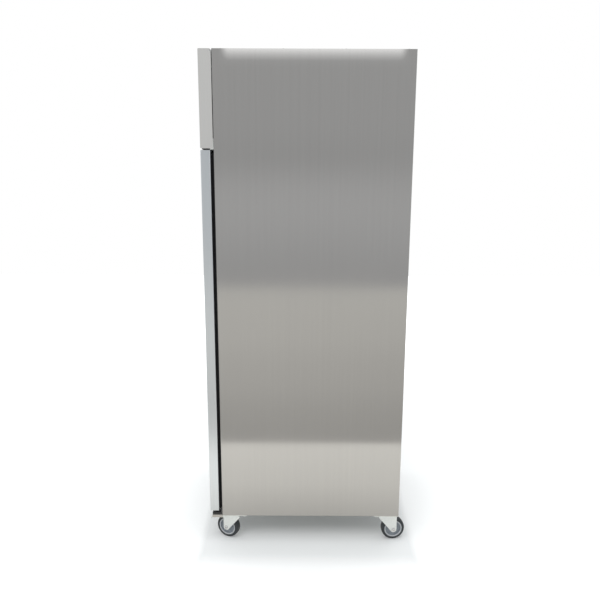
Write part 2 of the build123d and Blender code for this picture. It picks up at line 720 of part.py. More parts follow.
# Lower hinge block: the fixed nylon half under the door, threaded on the pin
BLOCK_HEIGHT = 11.0
BLOCK_SIDE = 2 * HINGE_INSET
BLOCK_FRONT_GAP = 1.0
BLOCK_BACK_GAP = 0.5
y_block = y_bracket + BLOCK_FRONT_GAP
y_block_back = y_cab - BRACKET - BLOCK_BACK_GAP
with BuildPart() as lower_hinge_block:
    with BuildSketch(Plane.XY.offset(z_bracket)):
        with Locations((x_pin, (y_block + y_block_back) / 2)):
            Rectangle(BLOCK_SIDE, y_block_back - y_block)
        with Locations((x_pin, y_pin)):
            Circle(PIN_R + SEAT, mode=Mode.SUBTRACT)
    extrude(amount=BLOCK_HEIGHT)
save(lower_hinge_block.part, "lower_hinge_block")

# Upper hinge: a flat arm in the gap above the door, bolted behind the fascia
ARM = 3.5
ARM_WIDTH = 24.0
ARM_FLANGE = 40.0
CAP_GAP = 0.5
CAP = 1.8
PIN_END_GAP = 2.0
cap_r = HINGE_INSET - CAP_GAP
z_arm = z_door_top + CAP + CLEAR
with BuildPart() as upper_hinge_bracket:
    with BuildSketch(Plane.XY.offset(z_arm)):
        with Locations((x_pin, y_pin)):
            RegularPolygon(ARM_WIDTH / 2, 16, major_radius=False)
        with Locations((x_pin, (y_pin + y_cab) / 2)):
            Rectangle(ARM_WIDTH, y_cab - y_pin)
    extrude(amount=ARM)
    with BuildSketch(Plane.XZ.offset(-y_cab)):
        with Locations((x_pin, z_arm + ARM_FLANGE / 2)):
            Rectangle(ARM_WIDTH, ARM_FLANGE)
    extrude(amount=BRACKET)
    with BuildSketch(Plane.XY.offset(z_arm)):
        with Locations((x_pin, y_pin)):
            Circle(PIN_R)
    extrude(amount=-(z_arm - z_door_top + BUSH_DEPTH - PIN_END_GAP))
save(upper_hinge_bracket.part, "upper_hinge_bracket")

# Door bushes: nylon inserts, square in the door's frame and round where they show
z_block_top = z_bracket + BLOCK_HEIGHT
with BuildPart() as door_bushes:
    for z_disc, disc_r, height, rise in (
        (z_block_top, BUSH_R + BUSH_COLLAR, DOOR_BOTTOM - z_block_top, BUSH_DEPTH),
        (z_door_top + CAP, cap_r, -CAP, -BUSH_DEPTH),
    ):
        with BuildSketch(Plane.XY.offset(z_disc)):
            with Locations((x_pin, y_pin)):
                RegularPolygon(disc_r, BUSH_SIDES)
        extrude(amount=height)
        with BuildSketch(Plane.XY.offset(z_disc + height)):
            with Locations((x_pin, y_pin)):
                Rectangle(2 * BUSH_R, 2 * BUSH_R)
        extrude(amount=rise)
    with BuildSketch(Plane.XY.offset(z_block_top)):
        with Locations((x_pin, y_pin)):
            Circle(PIN_R + RUNNING)
    extrude(amount=HEIGHT, mode=Mode.SUBTRACT)
save(door_bushes.part, "door_bushes")

# Door frame: one aluminium section, mitred at the four corners, with a channel for the glass
# In the section's own sketch X runs in from the door's edge and Y runs back from its front.
glass_unit = 2 * GLASS + GLASS_GAP
LOCK_INSET = 55.0
LOCK_REACH = 24.0
LOCK_RISE = 18.0
x_lock = LOCK_INSET - x_side
y_cam = y_front + LOCK_REACH
z_lock = z_fascia + LOCK_RISE
CAM = 3.0
CAM_WIDTH = 12.0
CAM_LENGTH = 42.0
CAM_ROOM = 1.5
cam_tip_r = hypot(CAM_LENGTH - CAM_WIDTH / 2, CAM_WIDTH / 2)


def cam_slot(z_top, depth):
    """The slot that the lock's cam swings down through, in the sheet or rail whose top is given."""
    swing = sqrt(cam_tip_r**2 - (z_lock - z_top) ** 2)
    return block(
        (x_lock - CAM_WIDTH / 2 - CAM_ROOM, x_lock + swing + CAM_ROOM),
        (y_cam - CAM / 2 - CAM_ROOM, y_cam + CAM / 2 + CAM_ROOM),
        (z_top - depth, z_top),
        mode=Mode.SUBTRACT,
    )


def door_section(plane, finger_groove=False):
    """The door frame's section on one plane, with or without the grip in its outer edge."""
    with BuildSketch(plane) as section:
        with Locations((STILE / 2, DOOR / 2)):
            Rectangle(STILE, DOOR)
        fillet(section.vertices().group_by(Axis.X)[0], DOOR_ROUND)
        with Locations((STILE - GLASS_BITE / 2, GLASS_LIP + glass_unit / 2)):
            Rectangle(GLASS_BITE, glass_unit, mode=Mode.SUBTRACT)
        if finger_groove:
            with Locations((GROOVE_DEPTH / 2, DOOR / 2)):
                Rectangle(GROOVE_DEPTH, GROOVE_WIDTH, mode=Mode.SUBTRACT)
    return section.sketch


door_members = {
    "door_stile_hinge": Plane(origin=(x_side, y_front, DOOR_BOTTOM), x_dir=(-1, 0, 0), z_dir=(0, 0, -1)),
    "door_stile_handle": Plane(origin=(-x_side, y_front, DOOR_BOTTOM), x_dir=(1, 0, 0), z_dir=(0, 0, 1)),
    "door_rail_bottom": Plane(origin=(-x_side, y_front, DOOR_BOTTOM), x_dir=(0, 0, 1), z_dir=(-1, 0, 0)),
    "door_rail_top": Plane(origin=(-x_side, y_front, z_door_top), x_dir=(0, 0, -1), z_dir=(1, 0, 0)),
}
for name, plane in door_members.items():
    upright = "stile" in name
    length = z_door_top - DOOR_BOTTOM if upright else WIDTH
    with BuildPart() as member:
        section = door_section(plane, finger_groove=name == "door_stile_handle")
        extrude(section, amount=length, dir=(0, 0, 1) if upright else (1, 0, 0))
        for x_corner in (-x_side, x_side):
            for z_corner in (DOOR_BOTTOM, z_door_top):
                owns_corner = x_corner * plane.origin.X > 0 if upright else z_corner == plane.origin.Z
                if not owns_corner:
                    continue
                side_in = -1 if x_corner > 0 else 1
                side_up = 1 if z_corner == DOOR_BOTTOM else -1
                normal = (-side_in, 0, side_up) if upright else (side_in, 0, -side_up)
                split(bisect_by=Plane(origin=(x_corner, 0, z_corner), z_dir=normal), keep=Keep.TOP)
        with Locations((x_pin, y_pin, DOOR_BOTTOM + BUSH_DEPTH / 2), (x_pin, y_pin, z_door_top - BUSH_DEPTH / 2)):
            Box(2 * BUSH_R, 2 * BUSH_R, BUSH_DEPTH, mode=Mode.SUBTRACT)
        if name == "door_rail_top":
            cam_slot(z_door_top, cam_tip_r - LOCK_RISE)
    save(member.part, name)

# Double glazing: two panes let into the frame's channel, with a spacer round their edge
glass_width = WIDTH - 2 * (STILE - GLASS_BITE)
glass_height = z_door_top - DOOR_BOTTOM - 2 * (STILE - GLASS_BITE)
z_glass = (DOOR_BOTTOM + z_door_top) / 2
y_outer_glass = y_front + GLASS_LIP
y_inner_glass = y_outer_glass + GLASS + GLASS_GAP
for y_pane, name in ((y_outer_glass, "outer_glass"), (y_inner_glass, "inner_glass")):
    with BuildPart() as pane:
        with BuildSketch(Plane.XZ.offset(-y_pane)):
            with Locations((0, z_glass)):
                Rectangle(glass_width, glass_height)
        extrude(amount=-GLASS)
    save(pane.part, name)
with BuildPart() as glass_spacer:
    with BuildSketch(Plane.XZ.offset(-y_outer_glass - GLASS)):
        with Locations((0, z_glass)):
            Rectangle(glass_width, glass_height)
            Rectangle(glass_width - 2 * GLASS_BITE - 2 * SPACER, glass_height - 2 * GLASS_BITE - 2 * SPACER,
                      mode=Mode.SUBTRACT)
    extrude(amount=-GLASS_GAP)
save(glass_spacer.part, "glass_spacer")

# Door gasket: a magnetic bellows ring between the door's back and the cabinet's front
GASKET_INSET = 14.5
GASKET_NECK = 4.0
GASKET_WAIST = 2.0
gasket_width = WIDTH - 2 * GASKET_INSET
gasket_height = z_door_top - DOOR_BOTTOM - 2 * GASKET_INSET
with BuildPart() as door_gasket:
    for y_start, depth, neck in (
        (y_door_back, GASKET_NECK, 0),
        (y_door_back + GASKET_NECK, GASKET - 2 * GASKET_NECK, GASKET_WAIST),
        (y_cab - GASKET_NECK, GASKET_NECK, 0),
    ):
        with BuildSketch(Plane.XZ.offset(-y_start)):
            with Locations((0, z_glass)):
                Rectangle(gasket_width - 2 * neck, gasket_height - 2 * neck)
                Rectangle(
                    gasket_width - 2 * GASKET_WIDTH + 2 * neck,
                    gasket_height - 2 * GASKET_WIDTH + 2 * neck,
                    mode=Mode.SUBTRACT,
                )
        extrude(amount=-depth)
save(door_gasket.part, "door_gasket")

# Fascia: a folded panel hinged at its upper rear corners, with cut-outs for its controls
CONTROLLER_LIFT = 12.5
CONTROLLER_WIDTH = 71.0
CONTROLLER_HEIGHT = 29.0
SWITCH_X = 95.0
SWITCH_WALL = 1.5
SWITCH_FLANGE = 4.0
SWITCH_WIDTH = 13.0
SWITCH_HEIGHT = 19.0
LOCK_R = 9.5
CHEEK_ROUND = FASCIA_PIN_DROP
TOP_STRIP_SETBACK = 3.0
FASCIA_BEND = 3.0
x_cheek_in = x_side - FASCIA_SHEET
z_controls = (z_fascia + HEIGHT) / 2 + CONTROLLER_LIFT
with BuildPart() as fascia_panel:
    with BuildSketch(Plane.YZ.offset(-x_cheek_in)):
        with BuildLine():
            FilletPolyline(
                (y_front + FASCIA_RETURN, z_fascia),
                (y_front, z_fascia),
                (y_front, HEIGHT),
                (y_fascia_pin - TOP_STRIP_SETBACK, HEIGHT),
                radius=FASCIA_BEND,
            )
            offset(amount=FASCIA_SHEET, side=Side.RIGHT)
        make_face()
    extrude(amount=2 * x_cheek_in)
    for side in (1, -1):
        with BuildSketch(Plane.YZ.offset(side * x_side)) as cheek:
            with Locations(((y_front + y_fascia_back) / 2, (z_fascia + HEIGHT) / 2)):
                Rectangle(y_fascia_back - y_front, FASCIA_HEIGHT)
            fillet(cheek.vertices().sort_by(Axis.X)[:2], FASCIA_BEND)
            fillet(cheek.vertices().group_by(Axis.X)[-1].sort_by(Axis.Y)[-1], CHEEK_ROUND)
            with Locations((y_fascia_pin, z_fascia_pin)):
                RegularPolygon(FASCIA_PIN_R + RUNNING, AXLE_SIDES, major_radius=False, mode=Mode.SUBTRACT)
        extrude(amount=-side * FASCIA_SHEET)
    with BuildSketch(Plane.XZ.offset(-y_front)):
        with Locations((0, z_controls)):
            Rectangle(CONTROLLER_WIDTH, CONTROLLER_HEIGHT)
        with Locations((SWITCH_X, z_controls)):
            Rectangle(SWITCH_WIDTH + 2 * SWITCH_WALL, SWITCH_HEIGHT + 2 * SWITCH_WALL)
        with Locations((x_lock, z_lock)):
            Rectangle(2 * LOCK_R, 2 * LOCK_R)
    extrude(amount=-2 * FASCIA_SHEET, mode=Mode.SUBTRACT)
    cam_slot(z_fascia + FASCIA_SHEET, FASCIA_SHEET)
save(fascia_panel.part, "fascia_panel")

# Fascia fittings: the controller, the light switch's housing and the lock's housing
BEZEL = 2.5
BEZEL_EDGE = 3.5
CONTROLLER_DEPTH = 58.0
DISPLAY_X = -12.0
DISPLAY_WIDTH = 42.0
DISPLAY_HEIGHT = 20.0
KEY_X = 24.0
KEY_WIDTH = 16.0
KEY_HEIGHT = 7.0
KEY_PITCH = 10.0
RECESS = 0.6
SWITCH_DEPTH = 16.0
SWITCH_PIVOT_R = 1.5
SWITCH_PIVOT_DEPTH = 4.0
LOCK_DEPTH = 20.0
LOCK_FLANGE = 2.5
KEY_SLOT = 1.6
KEY_SLOT_LENGTH = 8.0
LOCK_PLUG_R = 6.5
with BuildPart() as fascia_fittings:
    with BuildSketch(Plane.XZ.offset(-y_front)):
        with Locations((0, z_controls)):
            Rectangle(CONTROLLER_WIDTH + 2 * BEZEL_EDGE, CONTROLLER_HEIGHT + 2 * BEZEL_EDGE)
    extrude(amount=BEZEL)
    with BuildSketch(Plane.XZ.offset(-y_front)):
        with Locations((0, z_controls)):
            Rectangle(CONTROLLER_WIDTH, CONTROLLER_HEIGHT)
    extrude(amount=-CONTROLLER_DEPTH)
    with BuildSketch(Plane.XZ.offset(BEZEL - y_front)):
        with Locations((DISPLAY_X, z_controls)):
            Rectangle(DISPLAY_WIDTH, DISPLAY_HEIGHT)
        with Locations((KEY_X, z_controls)):
            with GridLocations(1, KEY_PITCH, 1, 2):
                Rectangle(KEY_WIDTH, KEY_HEIGHT)
    extrude(amount=RECESS, mode=Mode.SUBTRACT)
    with BuildSketch(Plane.XZ.offset(-y_front)):
        with Locations((SWITCH_X, z_controls)):
            Rectangle(SWITCH_WIDTH + 2 * SWITCH_FLANGE, SWITCH_HEIGHT + 2 * SWITCH_FLANGE)
    extrude(amount=BEZEL)
    with BuildSketch(Plane.XZ.offset(-y_front)):
        with Locations((SWITCH_X, z_controls)):
            Rectangle(SWITCH_WIDTH + 2 * SWITCH_WALL, SWITCH_HEIGHT + 2 * SWITCH_WALL)
    extrude(amount=-SWITCH_DEPTH)
    with BuildSketch(Plane.XZ.offset(BEZEL - y_front)):
        with Locations((SWITCH_X, z_controls)):
            Rectangle(SWITCH_WIDTH, SWITCH_HEIGHT)
    extrude(amount=-BEZEL - SWITCH_DEPTH + 2, mode=Mode.SUBTRACT)
    with BuildSketch(Plane.YZ.offset(SWITCH_X)):
        with Locations((y_front + SWITCH_PIVOT_DEPTH, z_controls)):
            RegularPolygon(SWITCH_PIVOT_R + RUNNING, AXLE_SIDES, major_radius=False)
    extrude(amount=SWITCH_WIDTH / 2 + 1.2, both=True, mode=Mode.SUBTRACT)
    with BuildSketch(Plane.XZ.offset(-y_front)):
        with Locations((x_lock, z_lock)):
            RegularPolygon(LOCK_R + LOCK_FLANGE, BUSH_SIDES)
    extrude(amount=BEZEL)
    with BuildSketch(Plane.XZ.offset(-y_front)):
        with Locations((x_lock, z_lock)):
            Rectangle(2 * LOCK_R, 2 * LOCK_R)
    extrude(amount=-LOCK_DEPTH)
    with BuildSketch(Plane.XZ.offset(BEZEL - y_front)):
        with Locations((x_lock, z_lock)):
            RegularPolygon(LOCK_PLUG_R + RUNNING, BUSH_SIDES, major_radius=False)
    extrude(amount=-BEZEL - LOCK_DEPTH, mode=Mode.SUBTRACT)
save(fascia_fittings.part, "fascia_fittings")

# Lock plug: turned by a key, with a cam that drops through the fascia into the door's top rail
with BuildPart() as door_lock:
    with BuildSketch(Plane.XZ.offset(BEZEL - y_front)):
        with Locations((x_lock, z_lock)):
            RegularPolygon(LOCK_PLUG_R, BUSH_SIDES)
    extrude(amount=-BEZEL - (y_cam - y_front - CAM / 2))
    with BuildSketch(Plane.XZ.offset(-y_cam + CAM / 2)):
        with Locations((x_lock + CAM_LENGTH / 2 - CAM_WIDTH / 2, z_lock)):
            Rectangle(CAM_LENGTH, CAM_WIDTH)
    extrude(amount=-CAM)
    with BuildSketch(Plane.XZ.offset(BEZEL - y_front)):
        with Locations((x_lock, z_lock)):
            Rectangle(KEY_SLOT, KEY_SLOT_LENGTH)
    extrude(amount=-KEY_SLOT_LENGTH, mode=Mode.SUBTRACT)
save(door_lock.part, "door_lock")

# Light rocker: a two-faced key on its cross pin, at rest with its lower end pressed in
ROCKER_TILT = 6.0
ROCKER_SIDE = 0.3
with BuildPart() as light_switch:
    pivot_plane = Plane(
        origin=(SWITCH_X, y_front + SWITCH_PIVOT_DEPTH, z_controls),
        x_dir=(0, cos(radians(ROCKER_TILT)), sin(radians(ROCKER_TILT))),
        z_dir=(1, 0, 0),
    )
    half = SWITCH_HEIGHT / 2 - 0.7
    with BuildSketch(pivot_plane):
        with BuildLine():
            Polyline(
                (3, 0), (1, half * 0.9), (-SWITCH_PIVOT_DEPTH - 3.2, half), (-SWITCH_PIVOT_DEPTH - 1.2, 0),
                (-SWITCH_PIVOT_DEPTH - 3.2, -half), (1, -half * 0.9), close=True,
            )
        make_face()
    extrude(amount=SWITCH_WIDTH / 2 - ROCKER_SIDE, both=True)
    with BuildSketch(pivot_plane):
        RegularPolygon(SWITCH_PIVOT_R, AXLE_SIDES)
    extrude(amount=SWITCH_WIDTH / 2 + 1, both=True)
save(light_switch.part, "light_switch")

# Casters: four swivels; the front pair trails forwards and the rear pair backwards
RACE_DROP = 6.0
KING_HEAD_R = 10.0
KING_HEAD = 4.0
ROUND_SIDES = 16
TYRE_SIDES = 24
TYRE_TURN = 90 + 180 / TYRE_SIDES
CROWN = 4.0
CROWN_R = 28.0
AXLE_BOSS_R = 13.0
HUB_R = 11.0
BOLT_HEAD_R = 7.5
BOLT_HEAD = 5.0
RIM_LIP = 3.5
RIM_INSET = 1.5
DISH = 8.0
SHOULDER = 4.0
LEG_OFFSET = WHEEL_WIDTH / 2 + LEG_GAP
z_plate = z_base - PLATE
z_race = z_plate - RACE_DROP
z_crown = z_race - CLEAR - CROWN
x_caster = x_side - PLATE_X / 2
y_front_caster = y_cab + PLATE_Y / 2
y_rear_caster = y_back - PLATE_Y / 2
PLATE_CORNER = 6.0
BOLT_SIDES = 6
HOLE_X = 60.0
HOLE_Y = 80.0
HOLE_R = 4.5
casters = {
    "front_right": (x_caster, y_front_caster, -90 - FRONT_YAW),
    "front_left": (-x_caster, y_front_caster, -90 - REAR_YAW),
    "rear_right": (x_caster, y_rear_caster, 90 + REAR_YAW),
    "rear_left": (-x_caster, y_rear_caster, 90 - FRONT_YAW / 2),
}

with BuildPart() as caster_plates:
    for x, y, heading in casters.values():
        with BuildSketch(Plane.XY.offset(z_plate)) as plate:
            with Locations((x, y)):
                Rectangle(PLATE_X, PLATE_Y)
            chamfer(plate.vertices(), PLATE_CORNER)
            with Locations((x, y)):
                with GridLocations(HOLE_X, HOLE_Y, 2, 2):
                    RegularPolygon(HOLE_R, BOLT_SIDES, mode=Mode.SUBTRACT)
        extrude(amount=PLATE)
        for z_top, radius, sides, drop in (
            (z_plate, RACE_R, ROUND_SIDES, RACE_DROP),
            (z_race, KING_R, AXLE_SIDES, CROWN + 2 * CLEAR),
            (z_crown - CLEAR, KING_HEAD_R, BOLT_SIDES, KING_HEAD),
        ):
            with BuildSketch(Plane.XY.offset(z_top)):
                with Locations((x, y)):
                    RegularPolygon(radius, sides)
            extrude(amount=-drop)
save(caster_plates.part, "caster_plates")

PEDAL_AHEAD = 27.0
PEDAL_RISE = 53.0
PEDAL_PIVOT_R = 3.0
PEDAL_REACH = 53.0
PEDAL_DROP = 31.0
PEDAL_SIDE_GAP = 2.0
EAR_WIDTH = 26.0
EAR_DEPTH = 12.0
x_pedal = TRAIL + PEDAL_AHEAD
z_pedal = WHEEL_R + PEDAL_RISE
for corner, (x, y, heading) in casters.items():
    trail = Vector(cos(radians(heading)), sin(radians(heading)), 0)
    axle_dir = Vector(trail.Y, -trail.X, 0)
    mid_plane = Plane(origin=(x, y, 0), x_dir=trail, z_dir=axle_dir)
    has_pedal = corner.startswith("front")

    # Fork: a pressed crown with two legs that narrow down to the axle, and the axle bolt
    with BuildPart() as fork:
        with BuildSketch(Plane(origin=(x, y, z_crown), x_dir=trail, z_dir=(0, 0, 1))):
            RegularPolygon(CROWN_R, ROUND_SIDES)
            with Locations((TRAIL * 0.3, 0)):
                Rectangle(TRAIL * 0.9, 2 * LEG_OFFSET + 2 * LEG)
            RegularPolygon(KING_R + RUNNING, AXLE_SIDES, major_radius=False, mode=Mode.SUBTRACT)
        extrude(amount=CROWN)
        for side in (1, -1):
            with BuildSketch(mid_plane.offset(side * LEG_OFFSET)):
                with BuildLine():
                    Polyline(
                        (TRAIL - AXLE_BOSS_R, WHEEL_R + 2),
                        (-CROWN_R * 0.4, z_crown),
                        (-CROWN_R * 0.4, z_crown + CROWN),
                        (TRAIL * 0.75 + 6, z_crown + CROWN),
                        (TRAIL + 12, z_crown - 4),
                        (TRAIL + AXLE_BOSS_R, WHEEL_R),
                        (TRAIL + AXLE_BOSS_R * 0.7, WHEEL_R - AXLE_BOSS_R * 0.7),
                        (TRAIL, WHEEL_R - AXLE_BOSS_R),
                        (TRAIL - AXLE_BOSS_R * 0.7, WHEEL_R - AXLE_BOSS_R * 0.7),
                        close=True,
                    )
                make_face()
                if has_pedal:
                    with Locations((x_pedal - 4, z_pedal)):
                        Rectangle(EAR_WIDTH, EAR_DEPTH)
                    with Locations((x_pedal, z_pedal)):
                        RegularPolygon(PEDAL_PIVOT_R + RUNNING, AXLE_SIDES, major_radius=False, mode=Mode.SUBTRACT)
                with Locations((TRAIL, WHEEL_R)):
                    RegularPolygon(AXLE_R + SEAT, AXLE_SIDES, mode=Mode.SUBTRACT)
            extrude(amount=side * LEG)
        with BuildSketch(mid_plane):
            with Locations((TRAIL, WHEEL_R)):
                RegularPolygon(AXLE_R, AXLE_SIDES)
        extrude(amount=LEG_OFFSET + LEG + SEAT, both=True)
        for side in (1, -1):
            with BuildSketch(mid_plane.offset(side * (LEG_OFFSET + LEG + SEAT))):
                with Locations((TRAIL, WHEEL_R)):
                    RegularPolygon(BOLT_HEAD_R, BOLT_SIDES)
            extrude(amount=side * BOLT_HEAD)
    save(fork.part, f"fork_{corner}")

    # Wheel core: a rim lip, a recessed web and a hub bored for the axle
    rim = WHEEL_WIDTH / 2 - RIM_INSET
    hub = LEG_OFFSET - CLEAR
    with BuildPart() as wheel:
        with BuildSketch(mid_plane):
            with Locations((TRAIL, WHEEL_R)):
                RegularPolygon(CORE_R, TYRE_SIDES, major_radius=False, rotation=TYRE_TURN)
        extrude(amount=rim, both=True)
        with BuildSketch(mid_plane):
            with Locations((TRAIL, WHEEL_R)):
                RegularPolygon(HUB_R, AXLE_SIDES, major_radius=False)
        extrude(amount=hub, both=True)
        for side in (1, -1):
            with BuildSketch(mid_plane.offset(side * rim)):
                with Locations((TRAIL, WHEEL_R)):
                    RegularPolygon(CORE_R - RIM_LIP, TYRE_SIDES, major_radius=False, rotation=TYRE_TURN)
                    RegularPolygon(HUB_R, AXLE_SIDES, major_radius=False, mode=Mode.SUBTRACT)
            extrude(amount=-side * DISH, mode=Mode.SUBTRACT)
        with BuildSketch(mid_plane):
            with Locations((TRAIL, WHEEL_R)):
                RegularPolygon(AXLE_R + RUNNING, AXLE_SIDES, major_radius=False)
        extrude(amount=hub, both=True, mode=Mode.SUBTRACT)
    save(wheel.part, f"wheel_{corner}")

    # Tyre: a moulded band with bevelled shoulders
    with BuildPart() as tyre:
        with BuildSketch(mid_plane):
            with Locations((TRAIL, WHEEL_R)):
                RegularPolygon(WHEEL_R, TYRE_SIDES, major_radius=False, rotation=TYRE_TURN)
        extrude(amount=WHEEL_WIDTH / 2, both=True)
        shoulder_faces = tyre.faces().filter_by(lambda face: abs(face.normal_at().dot(axle_dir)) > 0.99)
        chamfer(shoulder_faces.edges(), SHOULDER)
        with BuildSketch(mid_plane):
            with Locations((TRAIL, WHEEL_R)):
                RegularPolygon(CORE_R, TYRE_SIDES, major_radius=False, rotation=TYRE_TURN)
        extrude(amount=WHEEL_WIDTH / 2, both=True, mode=Mode.SUBTRACT)
    save(tyre.part, f"tyre_{corner}")

    # Brake pedal: a bent plate on a cross pin between the fork's cheeks
    if has_pedal:
        with BuildPart() as pedal:
            with BuildSketch(mid_plane):
                with BuildLine():
                    Polyline(
                        (x_pedal - 3, z_pedal + 5),
                        (x_pedal + 8, z_pedal + 5),
                        (x_pedal + PEDAL_REACH, z_pedal - PEDAL_DROP + 4),
                        (x_pedal + PEDAL_REACH, z_pedal - PEDAL_DROP),
                        (x_pedal + 5, z_pedal - 2),
                        (x_pedal - 3, z_pedal - 4),
                        close=True,
                    )
                make_face()
            extrude(amount=LEG_OFFSET - PEDAL_SIDE_GAP, both=True)
            with BuildSketch(mid_plane):
                with Locations((x_pedal, z_pedal)):
                    RegularPolygon(PEDAL_PIVOT_R, AXLE_SIDES)
            extrude(amount=LEG_OFFSET + LEG, both=True)
        save(pedal.part, f"brake_pedal_{corner}")
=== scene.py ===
# %% [markdown]
# # An upright refrigerator with a glass door
# A catering refrigerator is a foamed steel box on four swivel casters. A double-glazed door hangs
# on its front, a folded control fascia covers the machine compartment above the door, and the
# cooling unit stands on top of the insulation. The rigid pieces arrive as a fixed frame at their
# real sizes, so this script only dresses them: it gives each one its finish, and rebuilds the
# round, bent and wound pieces that a plain solid can only hint at.

# %% Load the frame
import json
from math import cos, pi, radians, sin

import bmesh
import bpy
from mathutils import Matrix, Vector


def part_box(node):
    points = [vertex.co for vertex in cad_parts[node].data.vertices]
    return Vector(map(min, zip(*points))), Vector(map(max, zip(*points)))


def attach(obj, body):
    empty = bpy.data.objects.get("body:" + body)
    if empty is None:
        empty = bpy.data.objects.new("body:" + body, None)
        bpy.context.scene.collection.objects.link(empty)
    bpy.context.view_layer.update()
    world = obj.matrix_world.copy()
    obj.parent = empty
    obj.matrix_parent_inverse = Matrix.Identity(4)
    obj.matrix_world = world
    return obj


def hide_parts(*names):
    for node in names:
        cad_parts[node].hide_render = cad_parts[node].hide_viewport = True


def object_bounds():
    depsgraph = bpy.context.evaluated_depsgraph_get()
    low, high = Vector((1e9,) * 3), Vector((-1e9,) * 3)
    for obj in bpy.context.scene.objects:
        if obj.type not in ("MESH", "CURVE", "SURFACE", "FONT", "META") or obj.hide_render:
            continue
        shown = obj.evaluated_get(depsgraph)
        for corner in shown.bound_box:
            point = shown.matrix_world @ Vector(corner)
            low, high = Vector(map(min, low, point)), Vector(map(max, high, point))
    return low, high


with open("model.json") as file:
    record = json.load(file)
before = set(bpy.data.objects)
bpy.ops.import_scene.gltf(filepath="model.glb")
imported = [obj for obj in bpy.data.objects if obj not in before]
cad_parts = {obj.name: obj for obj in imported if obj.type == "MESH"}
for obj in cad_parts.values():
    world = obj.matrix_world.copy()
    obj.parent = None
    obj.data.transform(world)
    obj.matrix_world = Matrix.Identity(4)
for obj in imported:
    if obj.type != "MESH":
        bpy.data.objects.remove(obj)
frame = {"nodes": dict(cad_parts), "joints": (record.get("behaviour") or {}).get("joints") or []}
nodes = frame["nodes"]
joints = {joint["name"]: joint for joint in frame["joints"]}
frame_low, frame_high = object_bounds()
print("frame", [round(v, 4) for v in frame_low], [round(v, 4) for v in frame_high])

# %% [markdown]
# ## Small tools for meshes
# Every new piece is one bmesh, filled with a few primitive shapes and finished in one place. The
# finishing step points the faces outwards and marks edges sharper than a set angle, so a turned
# part shades smoothly while its rims stay crisp.

# %% Mesh tools
X_AXIS = Vector((1, 0, 0))
Y_AXIS = Vector((0, 1, 0))
Z_AXIS = Vector((0, 0, 1))
MM = 0.001


def finished(name, bm, body, finish, stands_for=(), sharp=32.0, place=None):
    """Turn a filled bmesh into a piece that rides on a body and may stand for CAD nodes."""
    if place:
        bmesh.ops.transform(bm, matrix=place, verts=bm.verts)
    bmesh.ops.recalc_face_normals(bm, faces=bm.faces)
    for face in bm.faces:
        face.smooth = True
    for edge in bm.edges:
        edge.smooth = edge.calc_face_angle(0.0) < radians(sharp)
    mesh = bpy.data.meshes.new(name)
    bm.to_mesh(mesh)
    bm.free()
    made = bpy.data.objects.new(name, mesh)
    bpy.context.scene.collection.objects.link(made)
    mesh.materials.append(finish)
    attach(made, body)
    if stands_for:
        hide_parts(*stands_for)
    return made


def verts_since(bm, mark):
    """The vertices added since the mesh had this many."""
    bm.verts.ensure_lookup_table()
    return bm.verts[mark:]


def add_block(bm, low, high, bevel=0.0, segments=2):
    """A block between two corners, with its edges rounded by a bevel."""
    mark = len(bm.verts)
    low = Vector(low)
    high = Vector(high)
    verts = bmesh.ops.create_cube(bm, size=1.0)["verts"]
    bmesh.ops.scale(bm, vec=high - low, verts=verts)
    bmesh.ops.translate(bm, vec=(high + low) / 2, verts=verts)
    if bevel:
        edges = list({edge for vert in verts for edge in vert.link_edges})
        bmesh.ops.bevel(
            bm, geom=edges, offset=bevel, segments=segments, profile=0.5, affect="EDGES", material=-1
        )
    return verts_since(bm, mark)


def add_rod(bm, start, end, radius, sides=12, end_radius=None):
    """A straight round rod or cone between two points."""
    start = Vector(start)
    end = Vector(end)
    run = end - start
    place = Matrix.Translation((start + end) / 2) @ run.to_track_quat("Z", "Y").to_matrix().to_4x4()
    bmesh.ops.create_cone(
        bm, cap_ends=True, segments=sides, radius1=radius,
        radius2=radius if end_radius is None else end_radius, depth=run.length, matrix=place,
    )


def add_turned(bm, profile, origin, axis, sides=48, closed=False):
    """Spin a profile of (radius, height) points about an axis through origin."""
    mark = len(bm.verts)
    place = Matrix.Translation(origin) @ Vector(axis).to_track_quat("Z", "Y").to_matrix().to_4x4()
    verts = [bm.verts.new(place @ Vector((radius, 0, height))) for radius, height in profile]
    edges = [bm.edges.new(pair) for pair in zip(verts, verts[1:])]
    if closed:
        edges.append(bm.edges.new((verts[-1], verts[0])))
    bmesh.ops.spin(
        bm, geom=verts + edges, cent=origin, axis=Vector(axis).normalized(), dvec=(0, 0, 0),
        angle=2 * pi, steps=sides, use_merge=True, use_duplicate=False,
    )
    bmesh.ops.remove_doubles(bm, verts=verts_since(bm, mark), dist=1e-7)


def add_plate(bm, outline, thickness, place=Matrix.Identity(4), bevel=0.0):
    """A flat plate: an outline in the XY plane of a placement, drawn out along its Z."""
    mark = len(bm.verts)
    verts = [bm.verts.new(place @ Vector((x, y, 0))) for x, y in outline]
    face = bm.faces.new(verts)
    drawn = bmesh.ops.extrude_face_region(bm, geom=[face])["geom"]
    lifted = [item for item in drawn if isinstance(item, bmesh.types.BMVert)]
    lift = (place.to_3x3() @ Z_AXIS) * thickness
    bmesh.ops.translate(bm, vec=lift, verts=lifted)
    if bevel:
        edges = list({edge for vert in verts_since(bm, mark) for edge in vert.link_edges})
        bmesh.ops.bevel(
            bm, geom=edges, offset=bevel, segments=2, profile=0.5, affect="EDGES", material=-1
        )
    return verts_since(bm, mark)


def arc(centre, radius, start, end, steps=8):
    """Points along an arc in a plane, from one angle in degrees to another."""
    angles = [radians(start + (end - start) * n / steps) for n in range(steps + 1)]
    return [(centre[0] + radius * cos(angle), centre[1] + radius * sin(angle)) for angle in angles]


